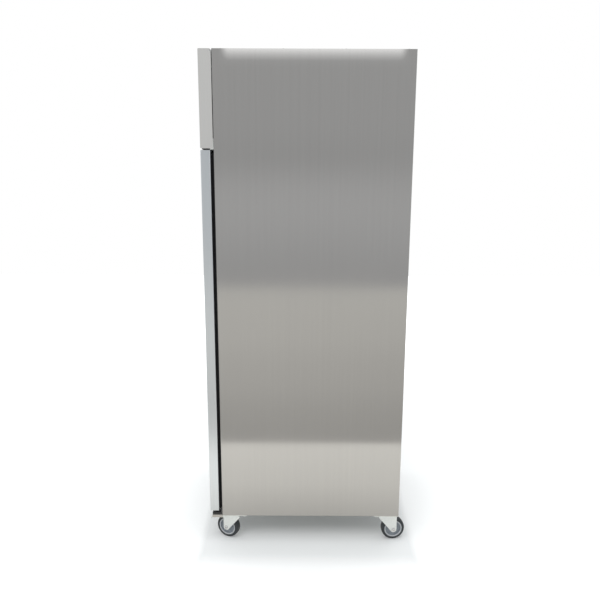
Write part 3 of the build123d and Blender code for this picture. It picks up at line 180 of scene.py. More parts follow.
def add_frame_ring(bm, profile, low, high):
    """A ring of constant section round an upright rectangle; (inset, y) points give the section."""
    loops = []
    for x, z, turn_x, turn_z in (
        (low[0], low[1], 1, 1),
        (high[0], low[1], -1, 1),
        (high[0], high[1], -1, -1),
        (low[0], high[1], 1, -1),
    ):
        verts = [bm.verts.new((x + turn_x * inset, y, z + turn_z * inset)) for inset, y in profile]
        loops.append([bm.edges.new(pair) for pair in zip(verts, verts[1:] + verts[:1])])
    for first, second in zip(loops, loops[1:] + loops[:1]):
        bmesh.ops.bridge_loops(bm, edges=first + second)


def tube(name, points, radius, body, finish, stands_for=(), bend=0.0, sides=4, closed=False):
    """A bent tube or wire: a curve through points, whose corners are rounded arcs."""
    curve = bpy.data.curves.new(name, "CURVE")
    curve.dimensions = "3D"
    curve.bevel_depth = radius
    curve.bevel_resolution = sides
    curve.use_fill_caps = True
    spline = curve.splines.new("BEZIER" if bend else "POLY")
    points = [Vector(point) for point in points]
    if bend:
        rounded = []
        for n, point in enumerate(points):
            before = points[n - 1]
            after = points[(n + 1) % len(points)]
            if not closed and n in (0, len(points) - 1):
                rounded.append((point, None, None))
                continue
            into = (before - point).normalized()
            out = (after - point).normalized()
            rounded.append((point + into * bend, None, point + into * bend * 0.45))
            rounded.append((point + out * bend, point + out * bend * 0.45, None))
        spline.bezier_points.add(len(rounded) - 1)
        for bezier, (place, left, right) in zip(spline.bezier_points, rounded):
            bezier.co = place
            bezier.handle_left_type = "FREE"
            bezier.handle_right_type = "FREE"
            bezier.handle_left = place if left is None else left
            bezier.handle_right = place if right is None else right
        spline.resolution_u = 6
    else:
        spline.points.add(len(points) - 1)
        for poly, place in zip(spline.points, points):
            poly.co = (*place, 1)
    spline.use_cyclic_u = closed
    made = bpy.data.objects.new(name, curve)
    bpy.context.scene.collection.objects.link(made)
    curve.materials.append(finish)
    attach(made, body)
    if stands_for:
        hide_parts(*stands_for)
    return made


# %% [markdown]
# ## Finishes
# Each finish is a small node graph on Object coordinates, which here are the real coordinates in
# metres, so a grain of one millimetre is a noise whose scale is about a thousand. A noise shifts
# the colour and the roughness a little, and a fine bump breaks the highlight, because no real
# sheet is one flat value.

# %% Finish tools
def graph(name):
    """A new material, its node list, its links and its main shader."""
    made = bpy.data.materials.new(name)
    made.use_nodes = True
    tree = made.node_tree
    return made, tree.nodes, tree.links, tree.nodes["Principled BSDF"]


def noise_on(tree_nodes, links, scale, stretch=(1, 1, 1), detail=3.0):
    """A noise value from 0 to 1 on stretched Object coordinates."""
    place = tree_nodes.new("ShaderNodeTexCoord")
    mapping = tree_nodes.new("ShaderNodeMapping")
    mapping.inputs["Scale"].default_value = stretch
    noise = tree_nodes.new("ShaderNodeTexNoise")
    noise.inputs["Scale"].default_value = scale
    noise.inputs["Detail"].default_value = detail
    links.new(place.outputs["Object"], mapping.inputs["Vector"])
    links.new(mapping.outputs["Vector"], noise.inputs["Vector"])
    return noise.outputs["Fac"]


def between(tree_nodes, links, value, low, high, start=0.3, end=0.7):
    """Map a noise value to the range from low to high."""
    span = tree_nodes.new("ShaderNodeMapRange")
    span.inputs["From Min"].default_value = start
    span.inputs["From Max"].default_value = end
    span.inputs["To Min"].default_value = low
    span.inputs["To Max"].default_value = high
    links.new(value, span.inputs["Value"])
    return span.outputs["Result"]


def blended(tree_nodes, links, value, first, second):
    """Mix two colours by a value."""
    mix = tree_nodes.new("ShaderNodeMix")
    mix.data_type = "RGBA"
    mix.inputs["A"].default_value = (*first, 1)
    mix.inputs["B"].default_value = (*second, 1)
    links.new(value, mix.inputs["Factor"])
    return mix.outputs["Result"]


def bumped(tree_nodes, links, shader, value, height):
    """Press a value into the surface as a height in metres."""
    bump = tree_nodes.new("ShaderNodeBump")
    bump.inputs["Distance"].default_value = height
    bump.inputs["Strength"].default_value = 1.0
    links.new(value, bump.inputs["Height"])
    links.new(bump.outputs["Normal"], shader.inputs["Normal"])


def shaded(colour, share):
    """The same colour, lighter or darker by a share."""
    return tuple(max(0.0, min(1.0, part * share)) for part in colour)


def surface(name, colour, metallic, roughness, scale, stretch=(1, 1, 1), shift=0.06, rough_shift=0.06,
            height=0.00002, coat=0.0, anisotropic=0.0):
    """A plain finish: one colour that drifts with a noise, as do its roughness and its height."""
    made, tree_nodes, links, shader = graph(name)
    fine = noise_on(tree_nodes, links, scale, stretch)
    broad = noise_on(tree_nodes, links, 6.0, (1, 1, 1), 2.0)
    tint = between(tree_nodes, links, fine, 0.0, 1.0)
    links.new(
        blended(tree_nodes, links, tint, shaded(colour, 1 - shift), shaded(colour, 1 + shift)),
        shader.inputs["Base Color"],
    )
    links.new(
        between(tree_nodes, links, broad, roughness - rough_shift, roughness + rough_shift),
        shader.inputs["Roughness"],
    )
    shader.inputs["Metallic"].default_value = metallic
    shader.inputs["Coat Weight"].default_value = coat
    shader.inputs["Anisotropic"].default_value = anisotropic
    bumped(tree_nodes, links, shader, fine, height)
    return made


# %% [markdown]
# The casing is stainless sheet, brushed along its height. The brush leaves scratches a fraction
# of a millimetre wide and very long, so the noise is squeezed across and drawn out along Z. A
# second, wider streak keeps the grain visible from a few steps away, and anisotropy spreads the
# reflection across the scratches only. The sheet rolls in a little under its top edge, where it
# catches the light from above: a broad bump over the last few centimetres does that, and it fades
# out before the two upright folds, which hold the corners flat.

# %% Brushed steel
ROLL_START = 0.065
panel_low, panel_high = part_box("side_panel_right")
PANEL_MIDDLE = (panel_low.y + panel_high.y) / 2
PANEL_HALF = (panel_high.y - panel_low.y) / 2


def brushed(name, colour, roughness, stretch, contrast=0.018, anisotropic=0.9, roll=0.0):
    """Brushed stainless sheet; stretch draws the grain out, roll bends the top edge inwards."""
    made, tree_nodes, links, shader = graph(name)
    scratch = noise_on(tree_nodes, links, 1400.0, stretch, 2.0)
    streak = noise_on(tree_nodes, links, 160.0, stretch, 3.0)
    cloud = noise_on(tree_nodes, links, 2.2, (1, 1, 1), 2.0)
    both = tree_nodes.new("ShaderNodeMath")
    both.operation = "MULTIPLY"
    links.new(scratch, both.inputs[0])
    links.new(streak, both.inputs[1])
    value = between(tree_nodes, links, both.outputs["Value"], 0.0, 1.0, 0.12, 0.4)
    links.new(
        blended(tree_nodes, links, value, shaded(colour, 1 - contrast), shaded(colour, 1 + contrast)),
        shader.inputs["Base Color"],
    )
    links.new(
        between(tree_nodes, links, cloud, roughness - 0.02, roughness + 0.02),
        shader.inputs["Roughness"],
    )
    shader.inputs["Metallic"].default_value = 1.0
    shader.inputs["Anisotropic"].default_value = anisotropic
    bumped(tree_nodes, links, shader, value, 0.000002)
    if roll:
        place = tree_nodes.new("ShaderNodeTexCoord")
        split = tree_nodes.new("ShaderNodeSeparateXYZ")
        links.new(place.outputs["Object"], split.inputs["Vector"])
        rise = between(tree_nodes, links, split.outputs["Z"], 0.0, 1.0, frame_high.z - ROLL_START, frame_high.z)
        squared = tree_nodes.new("ShaderNodeMath")
        squared.operation = "POWER"
        squared.inputs[1].default_value = 2.0
        links.new(rise, squared.inputs[0])
        from_middle = tree_nodes.new("ShaderNodeMath")
        from_middle.operation = "SUBTRACT"
        from_middle.inputs[1].default_value = PANEL_MIDDLE
        links.new(split.outputs["Y"], from_middle.inputs[0])
        reach = tree_nodes.new("ShaderNodeMath")
        reach.operation = "ABSOLUTE"
        links.new(from_middle.outputs["Value"], reach.inputs[0])
        away = between(tree_nodes, links, reach.outputs["Value"], 1.0, 0.0, PANEL_HALF - 0.065, PANEL_HALF - 0.010)
        away.node.interpolation_type = "SMOOTHSTEP"
        faded = tree_nodes.new("ShaderNodeMath")
        faded.operation = "MULTIPLY"
        links.new(squared.outputs["Value"], faded.inputs[0])
        links.new(away, faded.inputs[1])
        bend = tree_nodes.new("ShaderNodeBump")
        bend.invert = True
        bend.inputs["Distance"].default_value = roll
        bend.inputs["Strength"].default_value = 1.0
        links.new(faded.outputs["Value"], bend.inputs["Height"])
        links.new(shader.inputs["Normal"].links[0].from_socket, bend.inputs["Normal"])
        links.new(bend.outputs["Normal"], shader.inputs["Normal"])
    return made


UPRIGHT_GRAIN = (1, 1, 0.006)
steel = brushed("brushed steel upright", (0.45, 0.447, 0.44), 0.14, UPRIGHT_GRAIN, roll=0.0042)
# The fascia takes the panel's brushed steel painted lighter. This is painted light, so its face reads brighter than
# the side panel.
fascia_steel_painted_lighter = brushed("brushed steel fascia painted lighter", (0.8, 0.8, 0.785), 0.15, UPRIGHT_GRAIN)
liner_steel = brushed("brushed steel liner", (0.6, 0.6, 0.6), 0.32, UPRIGHT_GRAIN, anisotropic=0.6)
aluminium = brushed("anodised aluminium", (0.65, 0.69, 0.72), 0.29, UPRIGHT_GRAIN, anisotropic=0.6)

# %% [markdown]
# Sheets that nobody looks at are galvanised: hot zinc freezes into flat crystals a centimetre
# across, each a slightly different grey. A cell pattern gives that spangle. The casters are
# plated with bright zinc, which is smoother and faintly green. The forks take a lighter copy of
# that zinc, which is painted light. The lower hinge bracket takes a darker copy, which is painted shade.

# %% Zinc, plastics, rubber and glass
def spangled(name, colour, roughness):
    """Hot-dip galvanised sheet, with its frost of crystals."""
    made, tree_nodes, links, shader = graph(name)
    place = tree_nodes.new("ShaderNodeTexCoord")
    cells = tree_nodes.new("ShaderNodeTexVoronoi")
    cells.inputs["Scale"].default_value = 75.0
    links.new(place.outputs["Object"], cells.inputs["Vector"])
    split = tree_nodes.new("ShaderNodeSeparateColor")
    links.new(cells.outputs["Color"], split.inputs["Color"])
    value = split.outputs["Red"]
    links.new(
        blended(tree_nodes, links, value, shaded(colour, 0.90), shaded(colour, 1.08)),
        shader.inputs["Base Color"],
    )
    links.new(
        between(tree_nodes, links, value, roughness - 0.08, roughness + 0.1, 0.0, 1.0),
        shader.inputs["Roughness"],
    )
    shader.inputs["Metallic"].default_value = 1.0
    bumped(tree_nodes, links, shader, cells.outputs["Distance"], 0.00001)
    return made


galvanised = spangled("galvanised sheet", (0.5, 0.52, 0.53), 0.42)
grille_sheet = spangled("galvanised grille", (0.43, 0.445, 0.455), 0.36)
zinc = surface("bright zinc plating", (0.7, 0.735, 0.71), 0.85, 0.34, 220.0, shift=0.05, height=0.00001)
# The forks take the caster zinc painted lighter. This is painted light, so they read brighter than the plates.
fork_zinc_painted_lighter = surface("zinc plating painted lighter", (0.83, 0.865, 0.86), 0.6, 0.36, 220.0, shift=0.04, height=0.00001)
# The lower hinge bracket takes the same zinc plating painted darker. This is painted shade.
bracket_zinc_painted_darker = surface("zinc plating painted darker", (0.5, 0.485, 0.465), 0.9, 0.4, 220.0, height=0.00001)
bright_steel = surface("polished steel", (0.62, 0.63, 0.64), 1.0, 0.16, 400.0, shift=0.04)
black_nylon = surface("black nylon", (0.022, 0.022, 0.024), 0.0, 0.48, 500.0, height=0.00003)
black_plastic = surface("black plastic", (0.03, 0.03, 0.033), 0.0, 0.36, 700.0, height=0.00002)
rubber = surface("gasket rubber", (0.02, 0.02, 0.022), 0.0, 0.62, 900.0, height=0.00002)
tyre_rubber = surface("tyre rubber", (0.028, 0.034, 0.039), 0.0, 0.55, 350.0, shift=0.15, height=0.00006)
core_nylon = surface("caster core nylon", (0.28, 0.31, 0.345), 0.0, 0.38, 260.0, height=0.00002)
grey_plastic = surface("grey plastic", (0.19, 0.2, 0.21), 0.0, 0.42, 500.0, height=0.00003)
white_plastic = surface("white plastic", (0.76, 0.77, 0.77), 0.0, 0.4, 500.0, height=0.00002)
enamel = surface("black enamel", (0.018, 0.018, 0.02), 0.0, 0.3, 180.0, height=0.00008, coat=0.3)
wire_coat = surface("coated wire", (0.5, 0.51, 0.52), 0.0, 0.34, 300.0, height=0.00003, coat=0.2)
fin_metal = surface("coil fins", (0.66, 0.68, 0.69), 1.0, 0.35, 500.0, shift=0.1)
copper = surface("copper pipe", (0.72, 0.4, 0.25), 1.0, 0.28, 90.0, shift=0.12, height=0.00001)
foam = surface("rigid foam", (0.72, 0.62, 0.36), 0.0, 0.9, 400.0, shift=0.12, height=0.0002)
# The core's nylon painted lighter, for the skin over the wheel's lip. This is painted light.
rim_nylon_painted_lighter = surface("wheel rim nylon painted lighter", (0.54, 0.56, 0.58), 0.0, 0.36, 260.0, height=0.00002)
chrome = surface("chrome plating", (0.78, 0.79, 0.8), 1.0, 0.09, 300.0, shift=0.03, rough_shift=0.03)


def clear_glass(name, tint, roughness=0.02):
    """Float glass that lets shadow rays pass, so that the chamber behind it stays light."""
    made, tree_nodes, links, shader = graph(name)
    shader.inputs["Transmission Weight"].default_value = 1.0
    shader.inputs["IOR"].default_value = 1.45
    drift = noise_on(tree_nodes, links, 3.0)
    links.new(
        blended(tree_nodes, links, drift, shaded(tint, 0.99), tint), shader.inputs["Base Color"]
    )
    links.new(
        between(tree_nodes, links, drift, roughness * 0.5, roughness), shader.inputs["Roughness"]
    )
    see_through = tree_nodes.new("ShaderNodeBsdfTransparent")
    see_through.inputs["Color"].default_value = (*tint, 1)
    path = tree_nodes.new("ShaderNodeLightPath")
    mix = tree_nodes.new("ShaderNodeMixShader")
    links.new(path.outputs["Is Shadow Ray"], mix.inputs["Fac"])
    links.new(shader.outputs["BSDF"], mix.inputs[1])
    links.new(see_through.outputs["BSDF"], mix.inputs[2])
    links.new(mix.outputs["Shader"], tree_nodes["Material Output"].inputs["Surface"])
    return made


glass = clear_glass("float glass", (0.96, 0.985, 0.975))


def glowing(name, colour, strength):
    """A lit plastic, such as a lamp cover or a display's segment."""
    made, tree_nodes, links, shader = graph(name)
    value = between(tree_nodes, links, noise_on(tree_nodes, links, 120.0), 0.0, 1.0)
    links.new(
        blended(tree_nodes, links, value, shaded(colour, 0.92), colour), shader.inputs["Base Color"]
    )
    shader.inputs["Roughness"].default_value = 0.35
    shader.inputs["Emission Color"].default_value = (*colour, 1)
    shader.inputs["Emission Strength"].default_value = strength
    return made


lamp_cover = glowing("opal lamp cover", (0.93, 0.97, 1.0), 1.9)
red_digit = glowing("display segment", (0.9, 0.05, 0.03), 1.2)

# %% [markdown]
# ## Dress the pieces that keep their shape
# Folded sheet, extrusions and panes are already the right shape, so they keep their own meshes
# and only take a finish. A weld and a narrow bevel, both as modifiers, round the hard edges of
# the pieces that a hand touches: a bent sheet has no knife edge.

# %% Finish the frame's own nodes
node_finish = {
    "side_panel_left": steel,
    "side_panel_right": steel,
    "back_panel": galvanised,
    "base_pan": galvanised,
    "front_frame": liner_steel,
    "inner_liner": liner_steel,
    "insulation": foam,
    "machine_deck": galvanised,
    "top_cover": galvanised,
    "rear_grille": grille_sheet,
    "mains_inlet": black_plastic,
    "machine_front_frame": galvanised,
    "compressor": enamel,
    "condenser_coil": fin_metal,
    "condenser_shroud": galvanised,
    "refrigerant_pipes": copper,
    "condensate_pan": galvanised,
    "electrical_box": grey_plastic,
    "evaporator_cover": liner_steel,
    "evaporator_coil": fin_metal,
    "evaporator_fan_motor": enamel,
    "led_lamp": lamp_cover,
    "rack_uprights": liner_steel,
    "shelf_runners": liner_steel,
    "lower_hinge_bracket": bracket_zinc_painted_darker,
    "lower_hinge_block": black_nylon,
    "upper_hinge_bracket": zinc,
    "caster_plates": zinc,
    "door_stile_hinge": aluminium,
    "door_stile_handle": aluminium,
    "door_rail_bottom": aluminium,
    "door_rail_top": aluminium,
    "outer_glass": glass,
    "inner_glass": glass,
    "glass_spacer": black_nylon,
    "door_gasket": rubber,
    "door_bushes": black_nylon,
    "fascia_panel": fascia_steel_painted_lighter,
    "fascia_fittings": black_plastic,
    "door_lock": chrome,
    "light_switch": black_plastic,
    "condenser_fan": black_plastic,
    "evaporator_fan": black_plastic,
}
for name, node in nodes.items():
    kind = name.split("_")[0]
    by_kind = {"shelf": wire_coat, "fork": zinc, "wheel": core_nylon, "tyre": tyre_rubber, "brake": zinc}
    finish = node_finish.get(name) or by_kind[kind]
    node.data.materials.clear()
    node.data.materials.append(finish)

ROUNDED = {
    "door_stile_hinge": 0.6 * MM,
    "door_stile_handle": 0.6 * MM,
    "door_rail_bottom": 0.6 * MM,
    "door_rail_top": 0.6 * MM,
    "lower_hinge_bracket": 0.5 * MM,
    "upper_hinge_bracket": 0.5 * MM,
    "lower_hinge_block": 0.8 * MM,
    "electrical_box": 1.5 * MM,
    "condensate_pan": 0.5 * MM,
    "fascia_panel": 0.5 * MM,
    "fascia_fittings": 0.3 * MM,
    "door_lock": 0.25 * MM,
    "mains_inlet": 0.5 * MM,
    "evaporator_cover": 0.4 * MM,
}
for name, width in ROUNDED.items():
    weld = nodes[name].modifiers.new("weld", "WELD")
    weld.merge_threshold = 0.01 * MM
    round_off = nodes[name].modifiers.new("round", "BEVEL")
    round_off.width = width
    round_off.segments = 2
    round_off.limit_method = "ANGLE"
    round_off.angle_limit = radians(35)
print("finished", len(nodes), "nodes,", len(ROUNDED), "with rounded edges")

# %% [markdown]
# ## Casters
# A swivel caster is a plate bolted under the cabinet, a ball race, a pressed fork and a wheel that
# trails behind the swivel axis. Each one is made in a simple frame of its own: X along the trail,
# Y up from the floor and Z along the axle. The joint positions say where that frame goes, so all
# four casters come from the same code whatever way they happen to point.

# %% Where each caster stands
CORNERS = ("front_right", "front_left", "rear_right", "rear_left")
WHEEL_R = 0.050
TRAIL = 0.035
AXLE = Vector((TRAIL, WHEEL_R, 0))
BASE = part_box("base_pan")[0].z
PLATE_LOW = BASE - 0.003
RACE_LOW = PLATE_LOW - 0.006
CROWN_HIGH = RACE_LOW - 0.0003
CROWN_LOW = CROWN_HIGH - 0.004
LEG_IN = 0.020
LEG_OUT = 0.023


def caster_place(corner):
    """The matrix from a caster's own frame to the object's."""
    pivot = Vector(joints[f"swivel_{corner}_turn"]["pos_m"])
    axle = Vector(joints[f"wheel_{corner}_roll"]["pos_m"])
    trail = Vector((axle.x - pivot.x, axle.y - pivot.y, 0)).normalized()
    across = trail.cross(Z_AXIS)
    turn = Matrix((trail, Z_AXIS, across)).transposed().to_4x4()
    return Matrix.Translation((pivot.x, pivot.y, 0)) @ turn


places = {corner: caster_place(corner) for corner in CORNERS}
print("casters at", {corner: tuple(round(v, 3) for v in place.translation) for corner, place in places.items()})

# %% [markdown]
# The wheel is a thin moulded tyre on a nylon core. Both are turned shapes, so each one is half a
# section spun about the axle. The core's lip stands proud of a dished web and catches the light.
# A ring over the lip takes a lighter copy of the core's nylon, which is painted light. Together
# they make the pale ring inside the dark tyre.

# %% Tyres and cores
TYRE_SECTION = (
    (0.0380, -0.0150), (0.0420, -0.0158), (0.0455, -0.0156), (0.0476, -0.0142), (0.0490, -0.0118),
    (0.0497, -0.0085), (0.0500, -0.0045), (0.0500, 0.0045), (0.0497, 0.0085), (0.0490, 0.0118),
    (0.0476, 0.0142), (0.0455, 0.0156), (0.0420, 0.0158), (0.0380, 0.0150),
)
CORE_HALF = (
    (0.0041, 0.0196), (0.0100, 0.0196), (0.0109, 0.0188), (0.0112, 0.0095), (0.0122, 0.0074),
    (0.0142, 0.0066), (0.0290, 0.0066), (0.0312, 0.0072), (0.0324, 0.0088), (0.0330, 0.0132),
    (0.0338, 0.0144), (0.0352, 0.0150), (0.0372, 0.0150), (0.0380, 0.0142),
)
CORE_SECTION = CORE_HALF + tuple((radius, -height) for radius, height in reversed(CORE_HALF))
for corner in CORNERS:
    bm = bmesh.new()
    add_turned(bm, TYRE_SECTION, AXLE, Z_AXIS, 72, closed=True)
    finished(
        f"round_tyre_{corner}", bm, f"rolling_{corner}", tyre_rubber,
        (f"tyre_{corner}",), place=places[corner],
    )
    bm = bmesh.new()
    add_turned(bm, CORE_SECTION, AXLE, Z_AXIS, 72, closed=True)
    for step in range(6):
        angle = pi * step / 3
        rib = add_block(bm, (0.0105, -0.0012, -0.0078), (0.0322, 0.0012, 0.0078), 0.0004)
        bmesh.ops.rotate(bm, verts=rib, cent=(0, 0, 0), matrix=Matrix.Rotation(angle, 3, "Z"))
        bmesh.ops.translate(bm, verts=rib, vec=AXLE)
    finished(
        f"moulded_core_{corner}", bm, f"rolling_{corner}", core_nylon,
        (f"wheel_{corner}",), place=places[corner],
    )
    # A skin over the core's lip, in the same nylon made paler. This is painted light.
    bm = bmesh.new()
    for side in (1, -1):
        lip = ((0.0328, 0.0128), (0.0334, 0.0146), (0.0350, 0.0156), (0.0374, 0.0156), (0.0380, 0.0146), (0.0376, 0.0138))
        add_turned(bm, [(radius, side * height) for radius, height in lip], AXLE, Z_AXIS, 72, closed=True)
    finished(f"rim_lip_painted_lighter_{corner}", bm, f"rolling_{corner}", rim_nylon_painted_lighter, place=places[corner])
print("wheels", len(CORNERS), "with", len(TYRE_SECTION), "points in the tyre's section")

# %% [markdown]
# A fork is one blank of sheet, folded into a U and trimmed. Here a bent strip is drawn out along
# the trail, and planes cut it to the outline, as a blanking tool does: one plane for the long
# sloping edge, a fan of planes for the round end at the axle, one for the upright front edge. The
# sheet only gets its thickness after the cuts, so no cut has to be capped.

# %% Pressed forks
BEND_R = 0.0045
SLOPE = 219
FORK_BACK = -0.030
FORK_FRONT = 0.0548
TIP_R = 0.013


def add_fork_sheet(bm):
    """A U-shaped strip along the trail, trimmed by planes round the axle."""
    middle = (LEG_IN + LEG_OUT) / 2
    crown = (CROWN_LOW + CROWN_HIGH) / 2
    turn_out = arc((middle - BEND_R, crown - BEND_R), BEND_R, 0, 90, 5)
    path = [(middle, 0.030)] + turn_out
    path += [(-across, up) for across, up in reversed(path)]
    verts = [bm.verts.new((FORK_BACK, up, across)) for across, up in path]
    edges = [bm.edges.new(pair) for pair in zip(verts, verts[1:])]
    drawn = bmesh.ops.extrude_edge_only(bm, edges=edges)["geom"]
    far = [item for item in drawn if isinstance(item, bmesh.types.BMVert)]
    bmesh.ops.translate(bm, verts=far, vec=(FORK_FRONT - FORK_BACK, 0, 0))
    for angle in (SLOPE, 233, 251, 269, 287, 305, 323, 341, 360):
        normal = Vector((cos(radians(angle)), sin(radians(angle)), 0))
        bmesh.ops.bisect_plane(
            bm, geom=list(bm.verts) + list(bm.edges) + list(bm.faces), plane_co=AXLE + normal * TIP_R,
            plane_no=normal, clear_outer=True,
        )
    bmesh.ops.recalc_face_normals(bm, faces=bm.faces)


def add_axle_bolt(bm):
    """The axle's round shank, with a rolled ring round a hollow at each end."""
    for side in (1, -1):
        end = (
            (0.0, 0.0008), (0.0026, 0.0008), (0.0030, 0.0032), (0.0050, 0.0034), (0.0064, 0.0024),
            (0.0066, 0.0010), (0.0088, 0.0008), (0.0088, -0.0002), (0.0, -0.0002),
        )
        add_turned(bm, end, AXLE + Z_AXIS * side * LEG_OUT, Z_AXIS * side, 32)
    add_rod(bm, AXLE - Z_AXIS * LEG_OUT, AXLE + Z_AXIS * LEG_OUT, 0.0040, 20)


for corner in CORNERS:
    bm = bmesh.new()
    add_fork_sheet(bm)
    thick = finished(
        f"pressed_fork_{corner}", bm, f"swivel_{corner}", fork_zinc_painted_lighter, (f"fork_{corner}",),
        place=places[corner],
    )
    wall = thick.modifiers.new("sheet", "SOLIDIFY")
    wall.thickness = LEG_OUT - LEG_IN
    wall.offset = 0
    wall.use_even_offset = True
    rims = thick.modifiers.new("rims", "BEVEL")
    rims.width = 0.0005
    rims.segments = 2
    rims.limit_method = "ANGLE"
    rims.angle_limit = radians(50)
    bm = bmesh.new()
    add_turned(
        bm,
        (
            (0.0061, CROWN_LOW - 0.0004), (0.0240, CROWN_LOW - 0.0004), (0.0268, CROWN_LOW + 0.0006),
            (0.0284, CROWN_LOW + 0.0026), (0.0288, CROWN_HIGH), (0.0061, CROWN_HIGH),
        ),
        Vector((0, 0, 0)), Y_AXIS, 48, closed=True,
    )
    finished(f"race_cup_{corner}", bm, f"swivel_{corner}", zinc, place=places[corner])
    bm = bmesh.new()
    add_axle_bolt(bm)
    finished(f"axle_{corner}", bm, f"swivel_{corner}", bright_steel, place=places[corner])
print("forks", len(CORNERS))

# %% [markdown]
# The front casters lock. A pedal of bent strip pivots on a pin through two ears on the fork, with
# pressed ridges where the shoe stands on it.

# %% Brake pedals
PIVOT = Vector((TRAIL + 0.027, WHEEL_R + 0.053, 0))
PEDAL_HALF = 0.0178
for corner in CORNERS[:2]:
    bm = bmesh.new()
    for side in (1, -1):
        flat = Matrix.Translation((0, 0, side * LEG_OUT - 0.0002 * side - (0.0026 if side > 0 else 0)))
        ear = arc((PIVOT.x, PIVOT.y), 0.0065, -90, 90, 10)
        ear += [(0.040, PIVOT.y + 0.0065), (0.036, PIVOT.y - 0.0160)]
        add_plate(bm, ear, 0.0026, flat, 0.0004)
    finished(f"pedal_ears_{corner}", bm, f"swivel_{corner}", zinc, place=places[corner])

    bm = bmesh.new()
    upper = [(-0.003, 0.0048), (0.005, 0.0052), (0.010, 0.0038), (0.0150, 0.0008), (0.0505, -0.0250)]
    lower = [(0.0525, -0.0290), (0.0500, -0.0306), (0.0130, -0.0028), (0.006, -0.0010), (-0.003, -0.0040)]
    outline = [(PIVOT.x + x, PIVOT.y + y) for x, y in upper + lower]
    add_plate(bm, outline, 2 * PEDAL_HALF, Matrix.Translation((0, 0, -PEDAL_HALF)), 0.0006)
    tread = Vector((0.0355, -0.0258, 0))
    for share in (0.35, 0.55, 0.75, 0.95):
        ridge = PIVOT + Vector((0.0150, 0.0008, 0)) + tread * share
        add_rod(bm, ridge - Z_AXIS * PEDAL_HALF * 0.8, ridge + Z_AXIS * PEDAL_HALF * 0.8, 0.0009, 10)
    add_rod(bm, PIVOT - Z_AXIS * LEG_OUT, PIVOT + Z_AXIS * LEG_OUT, 0.0030, 20)
    finished(
        f"tread_pedal_{corner}", bm, f"pedal_{corner}", zinc, (f"brake_pedal_{corner}",),
        place=places[corner],
    )
print("pedals at", tuple(round(v, 3) for v in PIVOT))

# %% [markdown]
# The plates stay square to the cabinet, whichever way the forks turn, and four bolts hold each
# one. The race under a plate is a pressed disc with a rolled edge, drawn as one more section.

# %% Caster plates with their bolts
PLATE_X = 0.085
PLATE_Y = 0.105
bm = bmesh.new()
for corner in CORNERS:
    centre = places[corner].translation.copy()
    half = Vector((PLATE_X / 2, PLATE_Y / 2))
    radius = 0.007
    outline = []
    for turn_x, turn_y, start in ((1, 1, 0), (-1, 1, 90), (-1, -1, 180), (1, -1, 270)):
        middle = (centre.x + turn_x * (half.x - radius), centre.y + turn_y * (half.y - radius))
        outline += arc(middle, radius, start, start + 90, 6)
    add_plate(bm, outline, BASE - PLATE_LOW, Matrix.Translation((0, 0, PLATE_LOW)), 0.0004)
    for across in (-1, 1):
        for along in (-1, 1):
            hole = Vector((centre.x + across * 0.030, centre.y + along * 0.040, PLATE_LOW))
            add_rod(bm, hole, hole - Z_AXIS * 0.0014, 0.0080, 28)
            add_rod(bm, hole - Z_AXIS * 0.0014, hole - Z_AXIS * 0.0054, 0.0068, 6)
    add_turned(
        bm,
        (
            (0.0, PLATE_LOW), (0.0292, PLATE_LOW), (0.0288, PLATE_LOW - 0.0012), (0.0262, PLATE_LOW - 0.0030),
            (0.0256, RACE_LOW + 0.0006), (0.0248, RACE_LOW), (0.0, RACE_LOW),
        ),
        Vector((centre.x, centre.y, 0)), Z_AXIS, 48,
    )
    head = Vector((centre.x, centre.y, CROWN_LOW - 0.0008))
    add_rod(bm, head, head - Z_AXIS * 0.0040, 0.0095, 6)
    add_rod(bm, Vector((centre.x, centre.y, RACE_LOW)), head, 0.0058, 20)
finished("caster_mountings", bm, "cabinet", zinc, ("caster_plates",))
print("caster plates", len(CORNERS))

# %% [markdown]
# ## Wire shelves
# A shelf is a welded grid: a rim of thick rod, thin wires from front to back, and a few cross
# rods under them that carry the wires. The rim is a curve with rounded corners; the wires are
# short rods in one mesh.

# %% Shelves
RIM_R = 0.004
WIRE_R = 0.002
WIRES = 24
CROSS_RODS = 3
for level in ("lower", "middle", "upper"):
    low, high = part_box(f"shelf_{level}")
    rim_z = high.z - RIM_R
    corners = [
        (low.x + RIM_R, low.y + RIM_R, rim_z), (high.x - RIM_R, low.y + RIM_R, rim_z),
        (high.x - RIM_R, high.y - RIM_R, rim_z), (low.x + RIM_R, high.y - RIM_R, rim_z),
    ]
    tube(
        f"shelf_rim_{level}", corners, RIM_R, f"shelf_{level}", wire_coat,
        (f"shelf_{level}",), bend=0.016, closed=True,
    )
    bm = bmesh.new()
    wire_z = high.z - WIRE_R
    for n in range(WIRES):
        x = low.x + (high.x - low.x) * (n + 1) / (WIRES + 1)
        add_rod(bm, (x, low.y + RIM_R, wire_z), (x, high.y - RIM_R, wire_z), WIRE_R, 10)
    for n in range(CROSS_RODS):
        y = low.y + (high.y - low.y) * (n + 1) / (CROSS_RODS + 1)
        z = wire_z - WIRE_R - 0.0024
        add_rod(bm, (low.x + RIM_R, y, z), (high.x - RIM_R, y, z), 0.0026, 10)
    finished(f"shelf_wires_{level}", bm, f"shelf_{level}", wire_coat)
print("shelves with", WIRES, "wires each")

# %% [markdown]
# ## Door
# The gasket is a soft bellows with a magnet in its outer lip. Its section zigzags, so it is drawn
# once, repeated at the four corners of the door with its points mitred, and bridged from corner
# to corner. A plain strip closes the slit between it and the door's foot. The glass has a black
# printed border that hides the spacer and the sealant.

